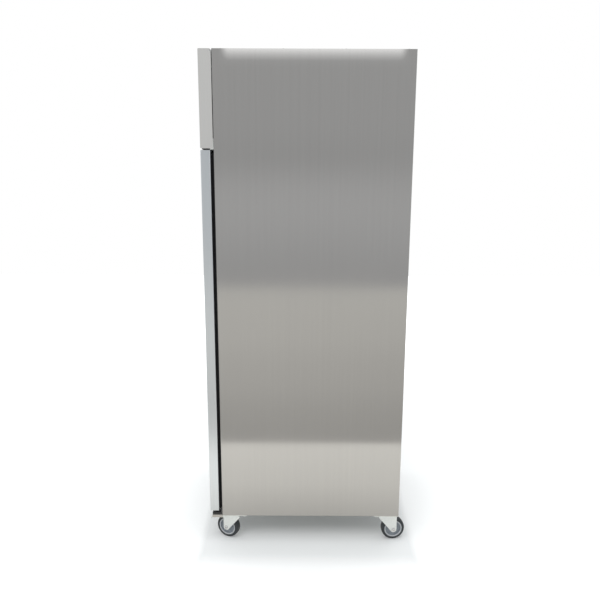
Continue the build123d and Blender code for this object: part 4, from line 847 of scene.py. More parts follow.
# %% Gasket and glass border
seal_low, seal_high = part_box("door_gasket")
near, far = seal_low.y, seal_high.y
SEAL_WIDTH = 0.018
zigzag = (
    (0.0030, 0.0000), (0.0000, 0.0016), (0.0032, 0.0040), (0.0004, 0.0062), (0.0028, 0.0080),
    (0.0000, 0.0102), (0.0006, 0.0130),
)
section = [(inset, near + depth) for inset, depth in zigzag]
section += [(SEAL_WIDTH - inset, near + depth) for inset, depth in reversed(zigzag)]
bm = bmesh.new()
add_frame_ring(bm, section, (seal_low.x, seal_low.z), (seal_high.x, seal_high.z))
finished("bellows_gasket", bm, "door", rubber, ("door_gasket",), sharp=50)
back_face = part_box("door_rail_bottom")[1].y
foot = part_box("door_rail_bottom")[0].z
bm = bmesh.new()
add_block(
    bm, (seal_low.x, back_face - 0.0002, foot + 0.0008), (seal_high.x, back_face + 0.0058, seal_low.z - 0.0004), 0.0008
)
finished("foot_strip", bm, "door", rubber)

BORDER = 0.020
glass_low, glass_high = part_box("outer_glass")
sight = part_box("door_stile_hinge")[0].x
rail_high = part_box("door_rail_bottom")[1].z
rail_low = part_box("door_rail_top")[0].z
film = glass_high.y + 0.0001
section = [(0.0, film), (BORDER, film), (BORDER, film + 0.0002), (0.0, film + 0.0002)]
bm = bmesh.new()
add_frame_ring(bm, section, (-sight, rail_high), (sight, rail_low))
finished("glass_border", bm, "door", black_plastic)
print("gasket", round(far - near, 4), "deep, border", BORDER)

# %% [markdown]
# The door turns on two steel pins in nylon bushes. The lower bush is a collar that stands on the
# fixed block, the upper one a flat cap under the hinge arm. Both are turned about the pin.

# %% Hinge bushes
pin = Vector(joints["door_swing"]["pos_m"])
door_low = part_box("door_stile_hinge")[0].z
door_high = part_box("door_stile_hinge")[1].z
block_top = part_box("lower_hinge_block")[1].z
bm = bmesh.new()
add_turned(
    bm,
    (
        (0.0041, block_top), (0.0082, block_top), (0.0090, block_top + 0.0008), (0.0090, door_low - 0.0008),
        (0.0084, door_low), (0.0070, door_low + 0.0002), (0.0070, door_low + 0.0200), (0.0041, door_low + 0.0200),
    ),
    (pin.x, pin.y, 0), Z_AXIS, 48, closed=True,
)
add_turned(
    bm,
    (
        (0.0041, door_high - 0.0200), (0.0070, door_high - 0.0200), (0.0070, door_high), (0.0128, door_high),
        (0.0135, door_high + 0.0005), (0.0135, door_high + 0.0013), (0.0130, door_high + 0.0018),
        (0.0041, door_high + 0.0018),
    ),
    (pin.x, pin.y, 0), Z_AXIS, 48, closed=True,
)
finished("turned_bushes", bm, "door", black_nylon, ("door_bushes",))

# A nylon cap covers the end of the bracket's upright flange, and a sleeve the end of the upper arm.
# The cap also fills the foot of the gap behind the door with black. It is partly a real cap and partly painted shade.
cover_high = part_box("lower_hinge_bracket")[1]
bm = bmesh.new()
add_block(
    bm, (cover_high.x - 0.030, cover_high.y - 0.0062, block_top - 0.0110),
    (cover_high.x + 0.0006, cover_high.y - 0.0001, seal_low.z - 0.0010), 0.0012,
)
finished("flange_cap_and_painted_shade", bm, "cabinet", black_nylon)
arm_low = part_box("upper_hinge_bracket")[0]
fascia_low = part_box("fascia_panel")[0].z
bm = bmesh.new()
add_block(
    bm, (arm_low.x - 0.0004, arm_low.y - 0.0048, door_high + 0.0020),
    (cover_high.x - 0.0010, arm_low.y + 0.0255, fascia_low - 0.0005), 0.0006,
)
finished("arm_sleeve", bm, "cabinet", black_nylon)
print("bushes on the pin at", round(pin.x, 3), round(pin.y, 3))

# %% [markdown]
# ## Screws and rivets
# The sheets are held by small fasteners that a plain solid leaves out. A screw is a turned dome
# with a round socket; a rivet is a lower dome. Each group is one mesh.

# %% Fasteners
SCREW = (
    (0.0000, 0.0009), (0.0011, 0.0009), (0.0013, 0.0022), (0.0024, 0.0019), (0.0034, 0.0011),
    (0.0038, 0.0003), (0.0038, -0.0004), (0.0000, -0.0004),
)
RIVET = ((0.0000, 0.0010), (0.0012, 0.0009), (0.0022, 0.0005), (0.0026, -0.0003), (0.0000, -0.0003))


def fasteners(name, section, spots, out, body, finish):
    """A group of equal screws or rivets that all face one way."""
    bm = bmesh.new()
    for spot in spots:
        add_turned(bm, section, spot, out, 20)
    finished(name, bm, body, finish)
    return len(spots)


count = 0
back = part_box("back_panel")[1]
spots = [(side * 0.326, back.y, 0.160 + step * 0.184) for side in (-1, 1) for step in range(9)]
spots += [(x, back.y, z) for x in (-0.24, -0.08, 0.08, 0.24) for z in (0.142, 1.660)]
count += fasteners("back_rivets", RIVET, spots, Y_AXIS, "cabinet", zinc)
spots = [(x, back.y, z) for x in (-0.322, -0.11, 0.11, 0.322) for z in (1.690, 1.996)]
spots += [(side * 0.322, back.y, 1.843) for side in (-1, 1)]
count += fasteners("grille_screws", SCREW, spots, Y_AXIS, "cabinet", bright_steel)
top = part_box("top_cover")
spots = [(side * 0.328, y, top[1].z) for side in (-1, 1) for y in (-0.33, -0.10, 0.13, 0.36)]
spots += [(x, y, top[1].z) for x in (-0.11, 0.11) for y in (-0.345, 0.374)]
count += fasteners("cover_screws", SCREW, spots, Z_AXIS, "cabinet", bright_steel)
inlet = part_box("mains_inlet")
inlet_x = (inlet[0].x + inlet[1].x) / 2
inlet_z = (inlet[0].z + inlet[1].z) / 2
spots = [(inlet_x + side * 0.0185, inlet[1].y, inlet_z) for side in (-1, 1)]
count += fasteners("inlet_screws", RIVET, spots, Y_AXIS, "cabinet", bright_steel)
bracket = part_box("lower_hinge_bracket")
spots = [(x, bracket[1].y - 0.0030, 0.150) for x in (0.276, 0.294)]
count += fasteners("hinge_screws", SCREW, spots, -Y_AXIS, "cabinet", bright_steel)
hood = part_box("evaporator_cover")
spots = [(side * 0.222, hood[0].y, z) for side in (-1, 1) for z in (1.480, 1.600)]
count += fasteners("hood_screws", SCREW, spots, -Y_AXIS, "cabinet", bright_steel)
print("fasteners", count)

# %% [markdown]
# ## Controls on the fascia
# The controller's housing is already in the frame, with a shallow recess for its window and one
# for each of its two keys. So nothing is rebuilt: a smoked window and two soft keys are laid into
# the recesses, and a lit number is built from straight bars, as on a real display.

# %% Controller
fittings_low, fittings_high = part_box("fascia_fittings")
face = fittings_low.y
controls_z = joints["light_rock"]["pos_m"][2]
window_x = -0.012
keys_x = 0.024
bm = bmesh.new()
add_block(
    bm, (window_x - 0.0208, face + 0.0001, controls_z - 0.0098),
    (window_x + 0.0208, face + 0.0006, controls_z + 0.0098), 0.0002,
)
finished("display_window", bm, "fascia", enamel)
bm = bmesh.new()
for up in (-1, 1):
    z = controls_z + up * 0.005
    add_block(bm, (keys_x - 0.0077, face - 0.0006, z - 0.0032), (keys_x + 0.0077, face + 0.0006, z + 0.0032), 0.0005)
finished("controller_keys", bm, "fascia", grey_plastic)

BARS = {
    "a": (0, 1, True), "g": (0, 0, True), "d": (0, -1, True), "f": (-1, 0.5, False),
    "b": (1, 0.5, False), "e": (-1, -0.5, False), "c": (1, -0.5, False),
}
DIGITS = {"3": "abgcd", "0": "abcdef"}
BAR_ACROSS = 0.0032
BAR_UP = 0.0060


def add_digit(bm, centre, digit):
    """One lit figure, made of the bars that a seven-bar display switches on."""
    for bar in DIGITS[digit]:
        across, up, flat = BARS[bar]
        middle = centre + Vector((across * BAR_ACROSS, 0, up * BAR_UP))
        reach = Vector((BAR_ACROSS - 0.0005, 0.0001, 0.0005)) if flat else Vector((0.0005, 0.0001, 0.0024))
        add_block(bm, middle - reach, middle + reach)


bm = bmesh.new()
lit = Vector((window_x, face, controls_z))
add_digit(bm, lit + Vector((-0.0080, 0, 0)), "3")
add_digit(bm, lit + Vector((0.0060, 0, 0)), "0")
add_block(bm, lit + Vector((-0.0018, -0.0001, -0.0066)), lit + Vector((-0.0008, 0.0001, -0.0056)))
finished("display_digits", bm, "fascia", red_digit)
print("controller face at", round(face, 4), "height", round(controls_z, 3))

# %% [markdown]
# The lock's plug and its key slot are in the frame too. A turned chrome collar is pressed over the
# plain flange round it. The rocker is a bent key that tips on a pin: at rest its lower end is in.

# %% Lock collar and rocker
lock = Vector(joints["lock_turn"]["pos_m"])
flange = face + 0.0025
bm = bmesh.new()
add_turned(
    bm,
    (
        (0.0067, face + 0.0004), (0.0070, face - 0.0006), (0.0080, face - 0.0010), (0.0108, face - 0.0008),
        (0.0121, face + 0.0004), (0.0124, flange), (0.0121, flange), (0.0067, face + 0.0012),
    ),
    (lock.x, 0, lock.z), Y_AXIS, 56, closed=True,
)
finished("lock_collar", bm, "fascia", chrome)

switch = Vector(joints["light_rock"]["pos_m"])
ROCKER_X = 0.0061
tipped = Matrix.Translation(switch) @ Matrix.Rotation(radians(6.0), 4, "X")
outline = [
    (0.0, 0.0030), (0.0079, 0.0010), (0.0088, -0.0072), (0.0, -0.0052), (-0.0088, -0.0072), (-0.0079, 0.0010),
]
to_side = Matrix(((0, 0, 1, -ROCKER_X), (0, 1, 0, 0), (1, 0, 0, 0), (0, 0, 0, 1)))
bm = bmesh.new()
add_plate(bm, outline, 2 * ROCKER_X, to_side, 0.0006)
finished("rocker_key", bm, "rocker", black_plastic, ("light_switch",), place=tipped)
bm = bmesh.new()
add_block(bm, (-0.0003, -0.0066, 0.0030), (0.0003, -0.0058, 0.0058))
finished("rocker_mark", bm, "rocker", white_plastic, place=tipped)
print("lock at", round(lock.x, 3), "rocker at", round(switch.x, 3))

# %% [markdown]
# ## Fans
# A fan blade is a sheet that is twisted and cupped: steep near the hub, flatter at the tip. A flat
# grid is made first, then every point is moved to its radius, its angle and its height, and the
# sheet gets its thickness last. Both fans come from the same function with their own sizes.

# %% Fan rotors
def fan_rotor(name, node, body, centre, hub, tip, reach, depth, blades=5):
    """A moulded fan on the Y axis: a domed hub and swept blades, in place of one CAD node."""
    bm = bmesh.new()
    add_turned(
        bm,
        (
            (0.0032, depth), (hub * 0.9, depth), (hub, depth * 0.8), (hub, -depth * 0.7), (hub * 0.8, -depth * 0.95),
            (hub * 0.35, -depth), (0.0032, -depth),
        ),
        centre, Y_AXIS, 48, closed=True,
    )
    for n in range(blades):
        mark = len(bm.verts)
        bmesh.ops.create_grid(bm, x_segments=10, y_segments=8, size=0.5)
        blade = verts_since(bm, mark)
        for vert in blade:
            out = vert.co.x + 0.5
            along = vert.co.y
            radius = hub * 0.92 + (tip - hub * 0.92) * out
            width = radians(54 - 12 * out)
            turn = 2 * pi * n / blades + along * width + 0.28 * out * out
            pitch = reach * (1 - 0.22 * out)
            cup = 0.10 * reach * (1 - 4 * along * along)
            vert.co = centre + Vector((radius * cos(turn), along * 2 * pitch + cup, radius * sin(turn)))
        faces = list({face for vert in blade for face in vert.link_faces})
        bmesh.ops.recalc_face_normals(bm, faces=faces)
        bmesh.ops.solidify(bm, geom=faces, thickness=0.0013)
    finished(name, bm, body, black_plastic, (node,), sharp=40)


for name, node, body, hub, tip, half_depth in (
    ("condenser_rotor_blades", "condenser_fan", "condenser_rotor", 0.024, 0.086, 0.0120),
    ("evaporator_rotor_blades", "evaporator_fan", "evaporator_rotor", 0.020, 0.0565, 0.0079),
):
    low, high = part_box(node)
    joint = joints["condenser_fan_spin" if "condenser" in node else "evaporator_fan_spin"]["pos_m"]
    centre = Vector((joint[0], (low.y + high.y) / 2, joint[2]))
    fan_rotor(name, node, body, centre, hub, tip, (high.y - low.y) / 2 - 0.0025, half_depth)
print("fans", 2)

# %% [markdown]
# A wire guard is a set of rings on radial wires. It has to bear on something: the small guard's
# outer ring lies on the hood round its mouth, and the large one lies on the motor's three arms.
# The motors get a turned case with a rolled seam over their plain drums.

# %% Fan guards and motor cases
def fan_guard(name, centre, radii, wire, spokes, side):
    """Rings in one plane, and radial wires on the side of them that faces out."""
    bm = bmesh.new()
    for radius in radii:
        section = [(radius + x, y) for x, y in arc((0, 0), wire, 0, 315, 7)]
        add_turned(bm, section, centre, Y_AXIS, 48, closed=True)
    lift = Y_AXIS * side * wire * 1.7
    for n in range(spokes):
        out = Vector((cos(2 * pi * n / spokes), 0, sin(2 * pi * n / spokes)))
        add_rod(bm, centre + out * radii[0] + lift, centre + out * radii[-1] + lift, wire * 1.1, 8)
    finished(name, bm, "cabinet", bright_steel)


cold_fan = Vector(joints["evaporator_fan_spin"]["pos_m"])
warm_fan = Vector(joints["condenser_fan_spin"]["pos_m"])
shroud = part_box("condenser_shroud")
HOOD_RING = 0.0680
fan_guard(
    "hood_guard", Vector((cold_fan.x, hood[0].y - 0.0010, cold_fan.z)),
    [HOOD_RING - 0.0078 * n for n in reversed(range(8))], 0.0010, 6, -1,
)
spots = [
    (cold_fan.x + HOOD_RING * cos(radians(turn)), hood[0].y - 0.0016, cold_fan.z + HOOD_RING * sin(radians(turn)))
    for turn in (30, 150, 210, 330)
]
fasteners("guard_screws", SCREW, spots, -Y_AXIS, "cabinet", bright_steel)
ARM_BACK = -0.2330
fan_guard(
    "shroud_guard", Vector((warm_fan.x, ARM_BACK + 0.0011, warm_fan.z)), [0.038 + 0.0110 * n for n in range(7)],
    0.0011, 6, 1,
)
for name, middle, start, end, radius in (
    ("condenser_motor_case", warm_fan, -0.2362, shroud[1].y, 0.0310),
    ("evaporator_motor_case", cold_fan, 0.0640, 0.0982, 0.0250),
):
    bm = bmesh.new()
    add_turned(
        bm,
        (
            (0.0036, start), (radius * 0.82, start), (radius, start + 0.0040), (radius, start + 0.0150),
            (radius + 0.0007, start + 0.0156), (radius + 0.0007, start + 0.0180), (radius, start + 0.0186),
            (radius, end - 0.0060), (radius * 0.9, end - 0.0018), (radius * 0.5, end + 0.0006), (0.0, end + 0.0010),
        ),
        (middle.x, 0, middle.z), Y_AXIS, 48,
    )
    finished(name, bm, "cabinet", enamel)
print("guards bear at", round(hood[0].y, 3), "and", ARM_BACK)

# %% [markdown]
# ## Cooling unit
# The compressor is two pressed bowls welded round the middle, on rubber feet, with a terminal
# cover and copper stubs. The condenser is a block of thin fins on copper tubes, whose ends turn
# back in U bends.

# %% Compressor
shell_low, shell_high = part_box("compressor")
middle = Vector(((shell_low.x + shell_high.x) / 2, (shell_low.y + shell_high.y) / 2, 0))
deck = shell_low.z
FOOT = 0.018
SHELL_R = 0.078
bowl = deck + FOOT
crown = shell_high.z
seam = bowl + 0.088
lower = [(0.0, bowl), (0.040, bowl + 0.001)] + arc((0.044, bowl + 0.034), 0.034, -85, 0, 8)
weld = [
    (SHELL_R, seam - 0.004), (SHELL_R + 0.0026, seam - 0.0030), (SHELL_R + 0.0034, seam),
    (SHELL_R + 0.0026, seam + 0.0030), (SHELL_R - 0.001, seam + 0.004),
]
upper = arc((0.037, crown - 0.040), 0.040, 0, 80, 8) + [(0.020, crown - 0.0002), (0.0, crown)]
bm = bmesh.new()
add_turned(bm, lower + weld + upper, middle, Z_AXIS, 72)
finished("compressor_shell", bm, "cabinet", enamel, ("compressor",))

bm = bmesh.new()
for side in (-1, 1):
    y = middle.y + side * 0.0468
    add_block(bm, (middle.x - 0.090, y - 0.0130, bowl - 0.0005), (middle.x + 0.090, y + 0.0130, bowl + 0.0025), 0.0012)
    add_block(bm, (middle.x - 0.055, y - 0.0012, bowl), (middle.x + 0.055, y + 0.0012, bowl + 0.0160), 0.0008)
finished("compressor_rails", bm, "cabinet", enamel)
rubber_feet = bmesh.new()
bolts = bmesh.new()
for across in (-1, 1):
    for along in (-1, 1):
        spot = middle + Vector((across * SHELL_R, along * 0.0468, 0))
        add_turned(
            rubber_feet,
            (
                (0.0040, deck), (0.0088, deck), (0.0090, deck + 0.0040), (0.0066, deck + 0.0070),
                (0.0062, deck + 0.0120), (0.0086, deck + 0.0150), (0.0084, bowl - 0.0006), (0.0040, bowl - 0.0006),
            ),
            spot, Z_AXIS, 32, closed=True,
        )
        base = Vector((spot.x, spot.y, bowl + 0.0025))
        add_rod(bolts, base, base + Z_AXIS * 0.0012, 0.0075, 28)
        add_rod(bolts, base + Z_AXIS * 0.0012, base + Z_AXIS * 0.0058, 0.0052, 6)
        add_rod(bolts, base + Z_AXIS * 0.0058, base + Z_AXIS * 0.0095, 0.0028, 16)
finished("compressor_feet", rubber_feet, "cabinet", rubber)
finished("compressor_bolts", bolts, "cabinet", zinc)
bm = bmesh.new()
add_block(
    bm, (middle.x - 0.027, middle.y - SHELL_R - 0.0190, seam - 0.0620),
    (middle.x + 0.027, middle.y - SHELL_R + 0.0080, seam - 0.0070), 0.0040, 4,
)
add_rod(
    bm, (middle.x + 0.012, middle.y - SHELL_R - 0.0080, seam - 0.0620),
    (middle.x + 0.012, middle.y - SHELL_R - 0.0080, seam - 0.0720), 0.0062, 20, 0.0050,
)
finished("terminal_cover", bm, "cabinet", black_plastic)
print("compressor", round(crown - deck, 3), "high")

# %% Condenser and evaporator coils
def finned_coil(name, node, pitch, fin, plate):
    """Thin upright fins across the width, between two end plates."""
    low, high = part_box(node)
    bm = bmesh.new()
    steps = int((high.x - low.x - 2 * plate) / pitch)
    start = (low.x + high.x - steps * pitch) / 2
    for n in range(steps + 1):
        x = start + n * pitch
        add_block(bm, (x - fin / 2, low.y + 0.0005, low.z), (x + fin / 2, high.y - 0.0005, high.z))
    finished(f"{name}_fins", bm, "cabinet", fin_metal, (node,))
    bm = bmesh.new()
    for edge in (low.x, high.x - plate):
        add_block(bm, (edge, low.y, low.z), (edge + plate, high.y, high.z), 0.0004)
    finished(f"{name}_plates", bm, "cabinet", galvanised)
    return low, high, steps + 1


def u_bends(name, low, high, tubes, columns, radius):
    """Half rings where the tubes turn back; the two ends take turns, so the path winds through."""
    bm = bmesh.new()
    gap = (high.z - low.z) / tubes
    for side, edge, first in ((-1, low.x, 0), (1, high.x, 1)):
        for column in range(columns):
            y = low.y + (high.y - low.y) * (column + 0.5) / columns
            for lower_tube in range(first, tubes - 1, 2):
                z = low.z + gap * (lower_tube + 1)
                mark = len(bm.verts)
                ring = bmesh.ops.create_circle(
                    bm, segments=8, radius=radius,
                    matrix=Matrix.Translation((edge, y, z - gap / 2)) @ Matrix.Rotation(pi / 2, 4, "Y"),
                )["verts"]
                edges = list({line for vert in ring for line in vert.link_edges})
                bmesh.ops.spin(
                    bm, geom=ring + edges, cent=(edge, y, z), axis=(0, -side, 0), dvec=(0, 0, 0),
                    angle=pi, steps=8, use_merge=False, use_duplicate=False,
                )
                bmesh.ops.remove_doubles(bm, verts=verts_since(bm, mark), dist=1e-6)
    finished(name, bm, "cabinet", copper)


low, high, fins = finned_coil("condenser", "condenser_coil", 0.0030, 0.0003, 0.0020)
u_bends("condenser_bends", low, high, 18, 2, 0.0032)
cold_low, cold_high, cold_fins = finned_coil("evaporator", "evaporator_coil", 0.0052, 0.0003, 0.0015)
u_bends("evaporator_bends", cold_low, cold_high, 8, 4, 0.0042)
print("fins", fins, "warm and", cold_fins, "cold")

# %% [markdown]
# Two copper lines run between the compressor and the condenser. They are curves with rounded
# corners, brazed in at both ends, and the lower one has a filter drier, a fat barrel with necked
# ends. The rest of the circuit, down through the foam to the evaporator, isn't drawn.

# %% Pipes and drier
PIPE_R = 0.005
coil_end = high.x
coil_y = (low.y + high.y) / 2
shell_face = middle.x - SHELL_R + 0.001
for name, rise, reach, spread, covers in (
    ("upper_line", 0.75, 0.034, 0.024, ("refrigerant_pipes",)),
    ("lower_line", 0.40, 0.016, -0.024, ()),
):
    y = middle.y + spread
    z = bowl + rise * (crown - bowl)
    route = (
        (shell_face - 0.004, y, z), (coil_end + reach, y, z), (coil_end + reach, coil_y, z),
        (coil_end + 0.001, coil_y, z),
    )
    tube(name, route, PIPE_R, "cabinet", copper, covers, bend=reach * 0.4, sides=5)
    bm = bmesh.new()
    add_rod(bm, (shell_face - 0.0100, y, z), (shell_face + 0.0160, y, z), PIPE_R + 0.0010, 24)
    finished(f"{name}_stub", bm, "cabinet", copper)
bm = bmesh.new()
barrel = ((0.0052, -0.062), (0.0062, -0.054), (0.0130, -0.044), (0.0135, -0.040))
profile = barrel + tuple((radius, -along) for radius, along in reversed(barrel))
lower_z = bowl + 0.40 * (crown - bowl)
add_turned(bm, profile, (coil_end + 0.016, -0.150, lower_z), Y_AXIS, 36, closed=True)
finished("filter_drier", bm, "cabinet", copper)
print("pipes join the coil at", round(coil_end, 3))

# %% [markdown]
# The electrical box gets its lid, three cable glands and the lid's screws.

# %% Electrical box
low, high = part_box("electrical_box")
bm = bmesh.new()
add_block(
    bm, (low.x - 0.0015, low.y - 0.0015, high.z - 0.0120), (high.x + 0.0015, high.y - 0.0005, high.z + 0.0030),
    0.0030, 3,
)
for x in (low.x + 0.030, low.x + 0.060, low.x + 0.090):
    add_turned(
        bm,
        (
            (0.0, low.y - 0.0160), (0.0050, low.y - 0.0160), (0.0064, low.y - 0.0140), (0.0086, low.y - 0.0105),
            (0.0086, low.y - 0.0050), (0.0105, low.y - 0.0046), (0.0105, low.y), (0.0, low.y),
        ),
        (x, 0, low.z + 0.030), Y_AXIS, 24,
    )
finished("box_lid", bm, "cabinet", grey_plastic)
spots = [(x, y, high.z + 0.0030) for x in (low.x + 0.012, high.x - 0.012) for y in (low.y + 0.012, high.y - 0.012)]
fasteners("lid_screws", SCREW, spots, Z_AXIS, "cabinet", bright_steel)
print("box lid on", round(high.z, 3))

# %% [markdown]
# ## Inside the chamber
# The rack posts are punched with a ladder of slots, so that the runners can hook in at any height.
# The frame's own posts have only the slots behind the three runners. Here the ladder is carried on
# over the whole post at a pitch that meets those three: a strip of cells is inset and each inner
# face is pushed in, which makes true pockets with walls.

# %% Slotted posts
post_low, post_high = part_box("rack_uprights")
POST_WIDE = 0.022
POST_DEEP = 0.012
SLOT_PITCH = 0.0275
SLOT_EDGE = 0.0070
SLOT_DEEP = 0.0105
shelf_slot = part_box("shelf_lower")[0].z - 0.0070
below = int((shelf_slot - post_low.z - 0.014) / SLOT_PITCH)
first = shelf_slot - below * SLOT_PITCH - SLOT_PITCH / 2
cells = int((post_high.z - 0.014 - first) / SLOT_PITCH)
levels = [post_low.z] + [first + n * SLOT_PITCH for n in range(cells + 1)] + [post_high.z]


def add_slotted_post(bm, side, y):
    """A post against one side wall, with its slots facing the chamber."""
    wall = side * post_high.x
    inner = side * (post_high.x - POST_DEEP)
    pairs = [[bm.verts.new((inner, y + across * POST_WIDE / 2, z)) for across in (-side, side)] for z in levels]
    strip = [bm.faces.new((a[0], a[1], b[1], b[0])) for a, b in zip(pairs, pairs[1:])]
    bmesh.ops.recalc_face_normals(bm, faces=strip)
    if strip[0].normal.x * side > 0:
        bmesh.ops.reverse_faces(bm, faces=strip)
    rim = [edge for face in strip for edge in face.edges if edge.is_boundary]
    drawn = bmesh.ops.extrude_edge_only(bm, edges=rim)["geom"]
    edge_verts = [item for item in drawn if isinstance(item, bmesh.types.BMVert)]
    for vert in edge_verts:
        vert.co.x = wall
    open_rim = [item for item in drawn if isinstance(item, bmesh.types.BMEdge) and item.is_boundary]
    bmesh.ops.contextual_create(bm, geom=open_rim)
    slots = strip[1:-1]
    bmesh.ops.inset_individual(bm, faces=slots, thickness=SLOT_EDGE, depth=0)
    bmesh.ops.inset_individual(bm, faces=slots, thickness=0.0001, depth=-SLOT_DEEP)


bm = bmesh.new()
for side in (-1, 1):
    for y in (post_low.y + POST_WIDE / 2, post_high.y - POST_WIDE / 2):
        add_slotted_post(bm, side, y)
finished("slotted_posts", bm, "cabinet", liner_steel, ("rack_uprights",))
print("slots on each post", cells, "from", round(first + SLOT_PITCH / 2, 4))

# %% [markdown]
# The lamp is a lit batten on the ceiling, just behind the chamber's mouth. Moulded grey caps close
# its ends.

# %% Lamp caps
lamp_low, lamp_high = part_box("led_lamp")
outline = [
    (lamp_low.y - 0.0006, lamp_high.z), (lamp_high.y + 0.0006, lamp_high.z),
    (lamp_high.y - 0.0052, lamp_high.z - 0.0148),
    (lamp_low.y + 0.0078, lamp_low.z - 0.0008), (lamp_low.y - 0.0006, lamp_high.z - 0.0126),
]
to_end = Matrix(((0, 0, 1, 0), (1, 0, 0, 0), (0, 1, 0, 0), (0, 0, 0, 1)))
bm = bmesh.new()
for x in (lamp_low.x - 0.0030, lamp_high.x - 0.0090):
    add_plate(bm, outline, 0.0120, Matrix.Translation((x, 0, 0)) @ to_end, 0.0006)
finished("lamp_caps", bm, "cabinet", grey_plastic)
print("lamp caps at", round(lamp_low.x, 3), round(lamp_high.x, 3))

# %% [markdown]
# ## Camera
# The photograph looks square at the hinge side from a little under three metres, slightly down.
# The three axes of the camera are built from its pitch, yaw and roll, and set as the columns of
# its matrix.

# %% Camera
CAMERA_PLACE = Vector((2.964, -0.032, 1.689))
PITCH = radians(13.23)
YAW = radians(0.07)
ROLL = radians(0.24)
ahead = Vector((-cos(PITCH) * cos(YAW), -cos(PITCH) * sin(YAW), -sin(PITCH)))
right = ahead.cross(Z_AXIS).normalized()
above = right.cross(ahead)
right, above = right * cos(ROLL) + above * sin(ROLL), above * cos(ROLL) - right * sin(ROLL)
lens = bpy.data.cameras.new("camera")
lens.lens = 41.0
lens.sensor_width = 36.0
camera = bpy.data.objects.new("camera", lens)
camera.matrix_world = Matrix.Translation(CAMERA_PLACE) @ Matrix((right, above, -ahead)).transposed().to_4x4()
bpy.context.scene.collection.objects.link(camera)
bpy.context.scene.camera = camera
print("camera at", tuple(round(v, 3) for v in CAMERA_PLACE))

# %% [markdown]
# ## Studio
# Steel shows its surroundings, so the room matters as much as the finish. The floor ends five
# metres in front of the panel, and its reflection ends halfway up the panel, where the room's
# grey takes over. On the hinge side the room has a bright strip well above the eye, which the
# rolled top edge of the panel mirrors. The lamps themselves don't show in the steel. A brighter
# apron near the cabinet is mirrored in the panel's lower end. The camera sees the same floor as
# plain white: a glow that rises with the distance lifts it. Right round the cabinet the glow is
# kept low. This is painted shade: it deepens and shapes the real soft shadow under the cabinet.

# %% Floor
FLOOR_REACH = 5.2
INSIDE = 0.14
floor_mesh = bmesh.new()
bmesh.ops.create_grid(floor_mesh, x_segments=1, y_segments=1, size=0.5)
bmesh.ops.scale(floor_mesh, vec=(2 * FLOOR_REACH + 0.68, 2 * FLOOR_REACH + 0.8, 1), verts=floor_mesh.verts)
floor_data = bpy.data.meshes.new("floor")
floor_mesh.to_mesh(floor_data)
floor_mesh.free()
floor = bpy.data.objects.new("floor", floor_data)
bpy.context.scene.collection.objects.link(floor)

floor_finish, tree_nodes, links, shader = graph("studio floor")
floor_finish.node_tree.nodes.remove(shader)
lit = tree_nodes.new("ShaderNodeBsdfDiffuse")
glow = tree_nodes.new("ShaderNodeEmission")
path = tree_nodes.new("ShaderNodeLightPath")
lit_tone = blended(tree_nodes, links, path.outputs["Is Glossy Ray"], (0.785, 0.81, 0.81), (0.63, 0.615, 0.58))
links.new(lit_tone, lit.inputs["Color"])
place = tree_nodes.new("ShaderNodeTexCoord")
mirror = tree_nodes.new("ShaderNodeVectorMath")
mirror.operation = "ABSOLUTE"
links.new(place.outputs["Object"], mirror.inputs[0])


def distance_from(half_y, stretch_y):
    """How far a floor point lies outside the cabinet's outline, as a share of the floor's reach."""
    outside = tree_nodes.new("ShaderNodeVectorMath")
    outside.operation = "SUBTRACT"
    outside.inputs[1].default_value = (frame_high.x - INSIDE, half_y, 0)
    links.new(mirror.outputs["Vector"], outside.inputs[0])
    drawn = tree_nodes.new("ShaderNodeVectorMath")
    drawn.operation = "MULTIPLY"
    drawn.inputs[1].default_value = (1, stretch_y, 1)
    links.new(outside.outputs["Vector"], drawn.inputs[0])
    sides = tree_nodes.new("ShaderNodeSeparateXYZ")
    links.new(drawn.outputs["Vector"], sides.inputs["Vector"])
    away = tree_nodes.new("ShaderNodeMath")
    away.operation = "MAXIMUM"
    links.new(sides.outputs["X"], away.inputs[0])
    links.new(sides.outputs["Y"], away.inputs[1])
    return between(tree_nodes, links, away.outputs["Value"], 0.0, 1.0, 0.0, FLOOR_REACH)


def glow_by_distance(span, stops, tint=(1.0, 1.0, 1.0)):
    """A glow from a list of (distance from the cabinet, brightness) stops."""
    ramp = tree_nodes.new("ShaderNodeValToRGB")
    for n, (distance, value) in enumerate(stops):
        row = ramp.color_ramp.elements
        stop = row[n] if n < 2 else row.new(distance / FLOOR_REACH)
        stop.position = distance / FLOOR_REACH
        stop.color = (*shaded(tint, value), 1)
    links.new(span, ramp.inputs["Fac"])
    return ramp.outputs["Color"]


in_steel = glow_by_distance(distance_from(0.40 - INSIDE, 1.0), (
    (0.14, 0.30), (0.34, 0.30), (0.64, 0.52), (1.12, 0.63), (1.14, 0.0), (1.63, 0.06), (2.05, 0.14), (2.57, 0.20),
    (3.2, 0.30), (4.1, 0.38), (5.2, 0.48),
), (1.0, 0.98, 0.92))
